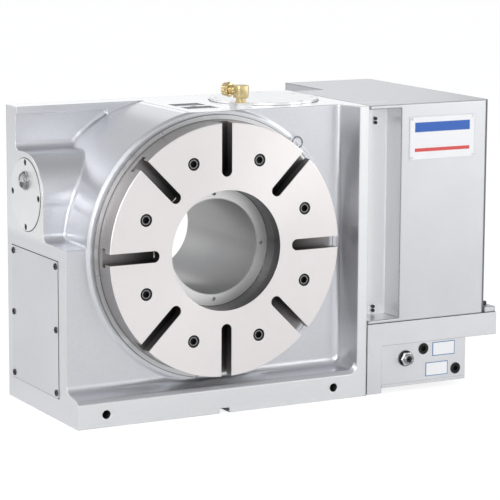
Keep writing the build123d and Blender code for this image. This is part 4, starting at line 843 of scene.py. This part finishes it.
class Shaper:
    """A bmesh under construction, in millimetres, with the operators that the pieces share."""

    def __init__(self) -> None:
        """Starts empty."""
        self.bm = bmesh.new()

    def cylinder(self, radius: float, start: float, end: float, sides: int) -> list:
        """A capped cylinder or prism along Z.

        Args:
            radius: The radius of its corners.
            start: The lower end.
            end: The upper end.
            sides: Faces round it.

        Returns:
            The new vertices.
        """
        made = bmesh.ops.create_cone(self.bm, cap_ends=True, segments=sides, radius1=radius,
                                     radius2=radius, depth=end - start,
                                     matrix=Matrix.Translation((0, 0, (start + end) / 2)))
        return made["verts"]

    def lathe(self, profile: Sequence[tuple[float, float]], sides: int) -> list:
        """Turns a closed (radius, height) profile round Z.

        Args:
            profile: The points of the section, in order.
            sides: Steps round the axis.

        Returns:
            The new vertices.
        """
        corners = [self.bm.verts.new((radius, 0.0, height)) for radius, height in profile]
        rim = [self.bm.edges.new((a, b)) for a, b in zip(corners, corners[1:] + corners[:1])]
        before = set(self.bm.verts)
        bmesh.ops.spin(self.bm, geom=corners + rim, cent=(0, 0, 0), axis=(0, 0, 1), angle=math.tau,
                       steps=sides, use_merge=True)
        made = [v for v in self.bm.verts if v not in before] + [v for v in corners if v.is_valid]
        bmesh.ops.remove_doubles(self.bm, verts=made, dist=0.0005)
        return [v for v in made if v.is_valid]

    def box(self, low: Point, high: Point) -> list:
        """A box between two corners."""
        size = [b - a for a, b in zip(low, high)]
        middle = [(a + b) / 2 for a, b in zip(low, high)]
        place = Matrix.Translation(middle) @ Matrix.Diagonal((*size, 1.0))
        return bmesh.ops.create_cube(self.bm, size=1.0, matrix=place)["verts"]

    def soften(self, verts: Iterable, width: float, steps: int = 2, angle: float = 30.0) -> None:
        """Rounds the sharp edges between some vertices.

        Args:
            verts: The vertices whose edges count.
            width: The rounding's width.
            steps: Faces across it.
            angle: Edges sharper than this are rounded.
        """
        pool = {v for v in verts if v.is_valid}
        sharp = [e for e in self.bm.edges
                 if e.verts[0] in pool and e.verts[1] in pool and len(e.link_faces) == 2
                 and e.calc_face_angle(0.0) > math.radians(angle)]
        bmesh.ops.bevel(self.bm, geom=sharp, offset=width, segments=steps, profile=0.5, affect="EDGES",
                        material=-1, clamp_overlap=True)

    def move(self, verts: Iterable, matrix: Matrix) -> None:
        """Moves some vertices."""
        bmesh.ops.transform(self.bm, matrix=matrix, verts=[v for v in verts if v.is_valid])

    def finish(self, name: str, finishes: Finishes, look: Look, place: Matrix = Matrix.Identity(4),
               body: str = "base") -> Thing:
        """Ends the piece: normals, place, material and body.

        Args:
            name: The piece's name.
            finishes: Where its material comes from.
            look: Its finish and slot.
            place: Where it goes, in millimetres.
            body: The CAD body that it rides on.

        Returns:
            The finished object.
        """
        material, slot = look.value
        bmesh.ops.recalc_face_normals(self.bm, faces=self.bm.faces[:])
        bmesh.ops.transform(self.bm, matrix=Matrix.Scale(MM, 4) @ place, verts=self.bm.verts[:])
        for face in self.bm.faces:
            face.smooth = True
        for edge in self.bm.edges:
            if len(edge.link_faces) == 2 and edge.calc_face_angle(0.0) > SMOOTH_BELOW:
                edge.smooth = False
        mesh = bpy.data.meshes.new(name)
        self.bm.to_mesh(mesh)
        self.bm.free()
        mesh.materials.append(finishes.get(material))
        made = bpy.data.objects.new(name, mesh)
        bpy.context.scene.collection.objects.link(made)
        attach(made, body)
        return made


@dataclass
class Elbow:
    """The brass elbow on top: forged body with a foot, threaded arm and union nut."""

    finishes: Finishes
    place: Point = (66.0, 80.0, 220.5)
    width: float = 21.0
    height: float = 27.6
    body_from: float = 7.0
    chamfer: float = 3.2
    round_by: float = 1.4
    arm_height: float = 19.0
    arm_radius: float = 8.0
    arm_length: float = 33.8
    arm_from: float = 2.0
    turn: float = 24.0
    bore: float = 4.5
    bore_depth: float = 18.0
    ridges: int = 5
    ridge_pitch: float = 1.6
    ridge_depth: float = 0.9
    nut_radius: float = 12.2
    nut_from: float = 20.0
    nut_length: float = 7.5
    ring_radius: float = 10.6
    ring_reach: float = 12.6
    ring_sides: int = 44
    groove: float = 0.955

    def build(self) -> list[Thing]:
        """Builds the elbow's pieces."""
        return [self._body(), self._nut()]

    def _arm_place(self) -> Matrix:
        """The frame of the arm, with +Z along it."""
        x, y, seat = self.place
        return (Matrix.Translation((x, y, seat + self.arm_height))
                @ Matrix.Rotation(math.radians(self.turn), 4, "Z") @ Way.BACK.turn())

    def _body(self) -> Thing:
        """The forged body with its foot and threaded arm."""
        shape = Shaper()
        half = self.width / 2
        shape.box((-half, -half, self.body_from), (half, half, self.height))
        upright = [e for e in shape.bm.edges if abs(e.verts[0].co.z - e.verts[1].co.z) > 1]
        bmesh.ops.bevel(shape.bm, geom=upright, offset=self.chamfer, segments=1, profile=0.5,
                        affect="EDGES", material=-1)
        shape.soften(shape.bm.verts, self.round_by, 3)
        shape.cylinder(half - 3.0, 0.0, self.body_from + 1.0, 40)
        shape.cylinder(half - 1.2, 0.0, 2.0, 6)
        shape.move(shape.bm.verts, Matrix.Translation(self.place))
        radius, end = self.arm_radius, self.arm_length
        profile = [(self.bore, end), (self.bore, end - self.bore_depth), (0.01, end - self.bore_depth),
                   (0.01, self.arm_from), (radius, self.arm_from)]
        root = radius - self.ridge_depth
        for ridge in range(self.ridges):
            at = half + 1.0 + ridge * self.ridge_pitch
            profile += [(radius, at), (root, at + self.ridge_pitch * 0.4),
                        (root, at + self.ridge_pitch * 0.55)]
        profile += [(radius - 0.2, end - 0.8), (radius - 0.8, end)]
        shape.move(shape.lathe(profile, 48), self._arm_place())
        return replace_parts(shape.finish("elbow_forging", self.finishes, Look.BRASS), "elbow")

    def _nut(self) -> Thing:
        """The union nut with chamfered corners and a knurled ring."""
        shape = Shaper()
        start = self.nut_from
        hexagon = shape.cylinder(self.nut_radius, start, start + self.nut_length, 6)
        shape.soften(hexagon, 0.9, 2)
        knurl = shape.cylinder(self.ring_radius, start + self.nut_length - 0.2, start + self.ring_reach,
                               self.ring_sides)
        for number, vertex in enumerate(knurl):
            if number % 4 < 2:
                vertex.co.x *= self.groove
                vertex.co.y *= self.groove
        shape.soften(knurl, 0.35, 1, 60.0)
        shape.move(shape.bm.verts, self._arm_place())
        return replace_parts(shape.finish("elbow_union_nut", self.finishes, Look.BRASS), "elbow_nut")


@dataclass
class SightGlass:
    """The oil sight glass on the booster cover: ribbed bezel, and the eye behind the glass."""

    finishes: Finishes
    centre: Point = (-253.0, 198.0, 101.0)
    radius: float = 14.9
    window: float = 9.0
    height: float = 7.4
    flange: float = 3.2
    flutes: int = 24
    eye: tuple[float, float, float, float] = (3.4, 5.0, 0.15, 0.9)

    def build(self) -> list[Thing]:
        """Builds the bezel and the eye, a ring given by its radii and levels."""
        place = Matrix.Translation(self.centre) @ Way.LEFT.turn()
        shape = Shaper()
        radius, top, lip, bore = self.radius, self.height, self.radius - 2.4, self.window + 0.02
        shape.lathe([(bore, 0.0), (radius, 0.0), (radius, self.flange - 0.6),
                     (radius - 0.6, self.flange - 0.1), (lip, self.flange), (lip, top - 1.2),
                     (lip - 1.2, top), (self.window + 1.0, top), (bore, top - 1.6)], 72)
        for flute in range(self.flutes):
            rib = shape.box((lip - 0.2, -0.7, self.flange + 0.1), (lip + 0.75, 0.7, top - 1.6))
            shape.soften(rib, 0.25, 1)
            shape.move(rib, Matrix.Rotation(math.tau * flute / self.flutes, 4, "Z"))
        bezel = shape.finish("sight_glass_bezel", self.finishes, Look.NICKEL, place)
        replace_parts(bezel, "sight_glass_ring")
        ring = Shaper()
        inner, outer, low, high = self.eye
        ring.lathe([(inner, low), (outer, low), (outer, high), (inner, high)], 40)
        return [bezel, ring.finish("sight_glass_eye", self.finishes, Look.RUBBER, place)]


@dataclass
class HoseFitting:
    """The chrome fitting at the gearbox's front: washer, hexagon, knurled nose and a sleeve. The washer is
    real; its black is painted shade on the fitting's side.

    The washer and the hexagon give their radius and the level that they end at.
    """

    finishes: Finishes
    place: Point = (333.0, 5.0, -204.5)
    washer: tuple[float, float] = (13.0, 2.9)
    hexagon: tuple[float, float] = (11.9, 8.6)
    nose: float = 8.9
    reach: float = 12.9
    bore: float = 5.0
    sleeve: tuple[float, float] = (2.4, 4.9)
    sleeve_from: float = 4.0

    def build(self) -> list[Thing]:
        """Builds the four pieces."""
        return [self._washer(), self._hexagon(), self._nose(), self._sleeve()]

    def _washer(self) -> Thing:
        """The washer under the hexagon, black: painted shade."""
        bore = self.bore + 0.4
        rim, top = self.washer
        profile = [(bore, 0.0), (rim, 0.0), (rim, top - 0.5), (rim - 0.5, top), (bore, top)]
        return self._turned("hose_fitting_shaded_washer", Look.BLACKED, profile)

    def _hexagon(self) -> Thing:
        """The hexagon with chamfered corners."""
        bore, start = self.bore + 0.3, self.washer[1]
        rim, top = self.hexagon
        profile = [(bore, start + 0.2), (rim - 0.9, start + 0.2), (rim, start + 0.8), (rim, top - 0.9),
                   (rim - 1.3, top), (bore, top)]
        made = self._turned("hose_fitting_body", Look.CHROME, profile, 6, 0.3)
        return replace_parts(made, "air_fitting")

    def _nose(self) -> Thing:
        """The knurled nose with a groove round it."""
        bore, rim, start, end = self.bore, self.nose, self.hexagon[1], self.reach
        profile = [(bore, start - 0.1), (rim, start - 0.1), (rim, start + 1.2), (rim - 0.7, start + 1.6),
                   (rim - 0.7, start + 2.2), (rim, start + 2.7), (rim, end - 0.7), (rim - 0.7, end),
                   (bore + 0.9, end), (bore, end - 0.8)]
        return self._turned("hose_fitting_nose", Look.KNURLED, profile)

    def _sleeve(self) -> Thing:
        """The sleeve in the nose's mouth."""
        bore, rim = self.sleeve
        start, end = self.sleeve_from, self.reach - 2.0
        profile = [(bore, start), (rim, start), (rim, end - 0.4), (rim - 0.5, end), (bore + 0.5, end),
                   (bore, end - 0.6)]
        return self._turned("hose_fitting_sleeve", Look.RUBBER, profile, 40)

    def _turned(self, name: str, look: Look, profile: Sequence[tuple[float, float]], sides: int = 64,
                soft: float = 0.0) -> Thing:
        """A turned piece of the fitting.

        Args:
            name: Its name.
            look: Its finish and slot.
            profile: Its section as radius and height.
            sides: Faces round it.
            soft: How far its edges are rounded.

        Returns:
            The piece.
        """
        shape = Shaper()
        made = shape.lathe(profile, sides)
        if soft > 0.0:
            shape.soften(made, soft, 2)
        return shape.finish(name, self.finishes, look, Matrix.Translation(self.place) @ Way.FRONT.turn())


@dataclass
class CoverSeams:
    """Thin dark strips in the seams under the motor cover, and round the hatch, booster cover and worm cap:
    the seams are real, their darkness is painted shade.

    The cover gives its left end, its box's left, right, front, step and rear; the hatch its front,
    rear, low and high edge; the booster and the cap their axis and radius.
    """

    finishes: Finishes
    level: float = -142.0
    thick: float = 1.1
    inner: float = 2.0
    cover: tuple[float, ...] = (260.4, 318.0, 506.0, 4.0, 257.0, 388.0)
    proud: float = 0.25
    left_face: float = -252.0
    hatch: tuple[float, float, float, float] = (77.0, 258.0, -225.0, -10.0)
    booster: Point = (200.0, 78.0, 57.55)
    cap: Point = (152.0, 163.0, 89.05)
    top: float = 213.0
    width: float = 0.9
    buried: float = 0.8

    def build(self) -> list[Thing]:
        """Builds the dark seam pieces."""
        y, z, booster = self.booster
        x, behind, cap = self.cap
        return [self._cover(), self._hatch(),
                self._ring("booster_seam_shade", booster,
                           Matrix.Translation((self.left_face, y, z)) @ Way.LEFT.turn()),
                self._ring("cap_seam_shade", cap, Matrix.Translation((x, behind, self.top)))]

    def _cover(self) -> Thing:
        """The dark strip in the seam between the motor cover and the bracket: painted shade."""
        low, high = self.level - self.thick / 2, self.level + self.thick / 2
        out, inner = self.proud, self.inner
        left, box_left, right, front, step, rear = self.cover
        return self._strips("cover_seam_shade", (
            ((left, front - out, low), (right + out, front + inner, high)),
            ((right - inner, front, low), (right + out, rear, high)),
            ((box_left - out, rear - inner, low), (right + out, rear + out, high)),
            ((box_left - out, step, low), (box_left + inner, rear, high)),
            ((left, step - inner, low), (box_left, step + out, high))))

    def _hatch(self) -> Thing:
        """The dark strip in the seam all round the hatch's plate: painted shade."""
        front, rear, low, high = self.hatch
        out, inn = self.left_face - self.proud, self.left_face + self.buried
        wide = self.width
        return self._strips("hatch_seam_shade", (
            ((out, front - wide, high), (inn, rear + wide, high + wide)),
            ((out, front - wide, low - wide), (inn, rear + wide, low)),
            ((out, front - wide, low), (inn, front, high)),
            ((out, rear, low), (inn, rear + wide, high))))

    def _strips(self, name: str, boxes: Iterable[tuple[Point, Point]]) -> Thing:
        """A dark seam piece, painted shade, made of straight strips, each between two corners."""
        shape = Shaper()
        for low, high in boxes:
            shape.box(low, high)
        return shape.finish(name, self.finishes, Look.RUBBER)

    def _ring(self, name: str, radius: float, place: Matrix) -> Thing:
        """A thin flat ring, with +Z out of the face that it lies on.

        Args:
            name: The piece's name.
            radius: Its inner radius.
            place: The frame of its face.

        Returns:
            The ring.
        """
        shape = Shaper()
        outer = radius + self.width
        low, high = -self.buried, self.proud
        shape.lathe([(radius, low), (outer, low), (outer, high), (radius, high)], 96)
        return shape.finish(name, self.finishes, Look.RUBBER, place)


@dataclass
class PortWashers:
    """Bonded washers round the two port plugs."""

    finishes: Finishes
    places: tuple[Point, ...] = ((367.4, 5.0, -191.9), (430.4, 5.0, -230.7))
    inner: float = 8.0
    outer: float = 9.5
    height: float = 0.8
    buried: float = 0.3

    def build(self) -> list[Thing]:
        """Builds the two washers as one piece."""
        shape = Shaper()
        inner, outer, top = self.inner, self.outer, self.height
        for place in self.places:
            ring = shape.lathe([(inner, -self.buried), (outer, -self.buried), (outer, top - 0.3),
                                (outer - 0.3, top), (inner + 0.2, top), (inner, top - 0.2)], 48)
            shape.move(ring, Matrix.Translation(place) @ Way.FRONT.turn())
        return [shape.finish("port_washers", self.finishes, Look.RUBBER)]


@dataclass
class ThreadedHoles:
    """Threads in the open holes of the casting: two in the base's front, one for the lifting eye. They are
    black to darken the holes: painted shade.

    Each hole gives its mouth, its radius and the way that it runs in.
    """

    finishes: Finishes
    holes: tuple[tuple[Point, float, Way], ...] = (
        ((-204.0, 6.0, -240.0), 7.0, Way.BACK),
        ((198.0, 6.0, -240.0), 7.0, Way.BACK),
        ((5.0, 125.5, 211.0), 5.0, Way.DOWN))
    start: float = 1.2
    pitch: float = 2.0
    depth: float = 0.75
    turns: int = 12

    def build(self) -> list[Thing]:
        """Builds the thread rings of each hole."""
        made = []
        for number, (spot, radius, way) in enumerate(self.holes):
            shape = Shaper()
            for turn in range(self.turns):
                at = self.start + turn * self.pitch
                shape.lathe([(radius + 0.05, at), (radius + 0.05, at + self.pitch - 0.05),
                             (radius - self.depth, at + self.pitch / 2)], 40)
            place = Matrix.Translation(spot) @ way.turn()
            # Black threads darken the holes: painted shade.
            made.append(shape.finish(f"thread_{number}", self.finishes, Look.BLACKED, place))
        return made


@dataclass(frozen=True)
class Lamp:
    """A rectangular soft light: where it stands and its sides in metres, and its watts."""

    name: str
    spot: Point
    sides: tuple[float, float]
    power: float

    def hang(self, aim: Point) -> Thing:
        """Places the lamp, pointed at the aim."""
        data = bpy.data.lights.new(self.name, "AREA")
        data.shape = "RECTANGLE"
        data.size, data.size_y = self.sides
        data.energy = self.power
        made = bpy.data.objects.new(self.name, data)
        way = Vector(aim) - Vector(self.spot)
        made.matrix_world = Matrix.Translation(self.spot) @ way.to_track_quat("-Z", "Y").to_matrix().to_4x4()
        bpy.context.scene.collection.objects.link(made)
        return made


@dataclass
class Studio:
    """Floor, lights, background and the camera at the photograph's viewing angle.

    The angles are in degrees, and the camera's places and the floor's level in millimetres. The room
    gives the light from below and from above each axis.
    """

    azimuth: float = -28.273
    elevation: float = 9.729
    roll: float = 0.284
    focal: float = 170.318
    film: float = 36.0
    aim: Point = (0.0, 150.0, 0.0)
    offset: Point = (-106.878, 21.498, 3803.604)
    floor_level: float = -260.0
    floor_reach: float = 30.0
    floor_glow: float = 1.165
    floor_share: float = 0.72
    paper: Colour = (0.94, 0.94, 0.94)
    world_light: float = 0.60
    tint: Colour = (0.97, 0.98, 1.0)
    room: tuple[tuple[float, float], ...] = ((1.0, 0.45), (1.0, 0.75), (0.6, 0.45))
    lamp_aim: Point = (0.1, 0.1, 0.0)
    lamps: tuple[Lamp, ...] = (
        Lamp("front_left_box", (-1.2, -3.0, 1.2), (1.6, 1.4), 9.0),
        Lamp("left_strip", (-2.4, -2.0, 1.0), (0.3, 1.8), 22.0),
        Lamp("left_back_box", (-2.6, 1.6, 1.6), (1.6, 1.6), 11.0),
        Lamp("rear_right_box", (1.5, 3.0, 1.2), (1.6, 1.4), 3.1),
        Lamp("left_high_box", (-2.0, -0.6, 2.8), (1.2, 1.2), 5.6),
        Lamp("right_box", (2.8, -0.5, 1.2), (1.4, 1.6), 16.0),
        Lamp("low_right_box", (2.2, -2.2, 0.5), (1.2, 1.2), 8.0))

    def camera(self) -> Thing:
        """Places the camera as fitted to the photograph."""
        a, e, r = (math.radians(v) for v in (self.azimuth, self.elevation, self.roll))
        back = Vector((math.sin(a) * math.cos(e), -math.cos(a) * math.cos(e), math.sin(e)))
        flat = Vector((math.cos(a), math.sin(a), 0.0))
        rise = back.cross(flat)
        right = math.cos(r) * flat + math.sin(r) * rise
        up = -math.sin(r) * flat + math.cos(r) * rise
        side, height, away = self.offset
        spot = Vector(self.aim) - right * side - up * height + back * away
        data = bpy.data.cameras.new("camera")
        data.lens = self.focal
        data.sensor_width = self.film
        data.clip_end = 2 * self.floor_reach
        made = bpy.data.objects.new("camera", data)
        axes = Matrix((right, up, back)).transposed().to_4x4()
        made.matrix_world = Matrix.Translation(spot * MM) @ axes
        bpy.context.scene.collection.objects.link(made)
        bpy.context.scene.camera = made
        return made

    def world(self) -> None:
        """A white backdrop for the camera, and the room's levels by direction for reflections."""
        graph = Graph(bpy.data.worlds.new("surround"))
        path = graph.node("ShaderNodeLightPath").outputs
        way = graph.node("ShaderNodeSeparateXYZ")
        graph.feed(way.inputs[0], graph.place.node.outputs["Generated"])
        total: object = 0.0
        for axis, levels in zip(way.outputs, self.room):
            for sign, level in zip((-1.0, 1.0), levels):
                side = graph.times(axis, sign)
                side.node.use_clamp = True
                total = graph.sums("MULTIPLY_ADD", graph.sums("POWER", side, 2.0), level, total)
        soft = graph.light("ShaderNodeBackground", self.world_light, self.tint)
        room = graph.light("ShaderNodeBackground", total, self.tint)
        white = graph.light("ShaderNodeBackground", 1.0)
        gloss = graph.mixed(path["Is Glossy Ray"], soft, room)
        clear = graph.most(path["Is Camera Ray"], path["Is Transmission Ray"])
        graph.feed(graph.output, graph.mixed(clear, gloss, white))
        bpy.context.scene.world = graph.owner

    def floor(self) -> Thing:
        """A pale floor that keeps a soft shadow."""
        shape = bmesh.new()
        bmesh.ops.create_grid(shape, x_segments=1, y_segments=1, size=self.floor_reach,
                              matrix=Matrix.Translation((0, 0, self.floor_level * MM)))
        mesh = bpy.data.meshes.new("floor")
        shape.to_mesh(mesh)
        shape.free()
        made = bpy.data.objects.new("floor", mesh)
        bpy.context.scene.collection.objects.link(made)
        graph = painted("floor_paper")
        paper = graph.node("ShaderNodeBsdfDiffuse")
        graph.feed(paper.inputs["Color"], (*self.paper, 1.0))
        glow = graph.light("ShaderNodeEmission", self.floor_glow)
        seen = graph.times(graph.node("ShaderNodeLightPath").outputs["Is Camera Ray"], self.floor_share)
        graph.feed(graph.output, graph.mixed(seen, paper.outputs[0], glow))
        mesh.materials.append(graph.owner)
        return made

    def build(self) -> None:
        """Sets the whole studio."""
        self.camera()
        self.world()
        self.floor()
        for lamp in self.lamps:
            lamp.hang(self.lamp_aim)
        bpy.context.scene.view_settings.view_transform = "Standard"


def dress_nodes(finishes: Finishes) -> None:
    """Gives every CAD node its finish.

    Args:
        finishes: The finishes.
    """
    plan = {
        "casting_finish": ("main_casting",),
        "cover_paint": ("motor_cover",),
        "bracket_paint": ("drive_housing", "gear_cover"),
        "hatch_paint": ("hatch",),
        "booster_paint_lit": ("booster_cover",),
        "plate_steel": ("faceplate",),
        "spindle_steel": ("spindle",),
        "collar_steel": ("collar",),
        "ring_steel": ("rear_housing", "brake_disc", "brake_cylinder", "brake_piston",
                       "brake_reaction_ring", "booster_piston", "worm_shaft", "motor_shaft", "idler_pin"),
        "cap_steel": ("worm_cap",),
        "bright_steel": ("port_block",),
        "bearing_steel": ("front_bearing_inner", "front_bearing_outer", "front_bearing_rollers",
                          "rear_bearing_inner", "rear_bearing_outer", "rear_bearing_rollers",
                          "worm_upper_bearing", "worm_lower_bearing"),
        "gear_steel": ("worm_gear", "idler_gear", "motor_pinion"),
        "plate_screw_heads": ("faceplate_screws",),
        "black_oxide": ("brake_disc_screws", "worm_wheel_screws", "rear_housing_screws",
                        "motor_screws", "drive_housing_bolts", "gear_cover_screws",
                        "motor_cover_screws", "hatch_screws", "booster_cover_screws"),
        "zinc_plate": ("worm_cap_screws", "badge_rivets", "collar_screws"),
        "pin_steel": ("pull_pin",),
        "blacked_steel": ("port_plugs",),
        "wheel_bronze": ("worm_wheel",),
        "yellow_brass": ("elbow", "elbow_nut"),
        "bright_chrome": ("air_fitting", "sight_glass_ring"),
        "black_rubber": ("worm_seal", "rear_seal"),
        "black_plastic": ("motor_cable_plugs", "cable_socket"),
        "motor_paint": ("motor",),
        "blank_badge": ("badge_plate",),
        "blank_labels": ("port_labels",),
        "oil_glass": ("sight_glass",),
    }
    for name, nodes in plan.items():
        finishes.dress(nodes, name)


def corners(bounds: Sequence[Vector]) -> list[list[float]]:
    """A box as plain lists of numbers."""
    return [[float(v) for v in corner] for corner in bounds]


def main() -> None:
    """Builds the studio and the rotary table's pieces."""
    logging.basicConfig(level=logging.INFO, format="%(name)s: %(message)s")
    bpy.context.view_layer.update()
    finishes = Finishes()
    Studio().build()
    dress_nodes(finishes)
    for group in (Elbow(finishes), SightGlass(finishes), HoseFitting(finishes), CoverSeams(finishes),
                  PortWashers(finishes), ThreadedHoles(finishes)):
        for piece in group.build():
            log.info("%s: %d faces", piece.name, len(piece.data.polygons))


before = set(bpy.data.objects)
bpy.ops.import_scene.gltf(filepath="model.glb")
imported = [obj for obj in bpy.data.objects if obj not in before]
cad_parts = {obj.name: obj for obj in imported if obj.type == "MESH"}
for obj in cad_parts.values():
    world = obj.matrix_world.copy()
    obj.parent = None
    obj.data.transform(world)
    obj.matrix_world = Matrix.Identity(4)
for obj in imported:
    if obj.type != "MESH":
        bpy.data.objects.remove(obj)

if __name__ == "__main__":
    main()
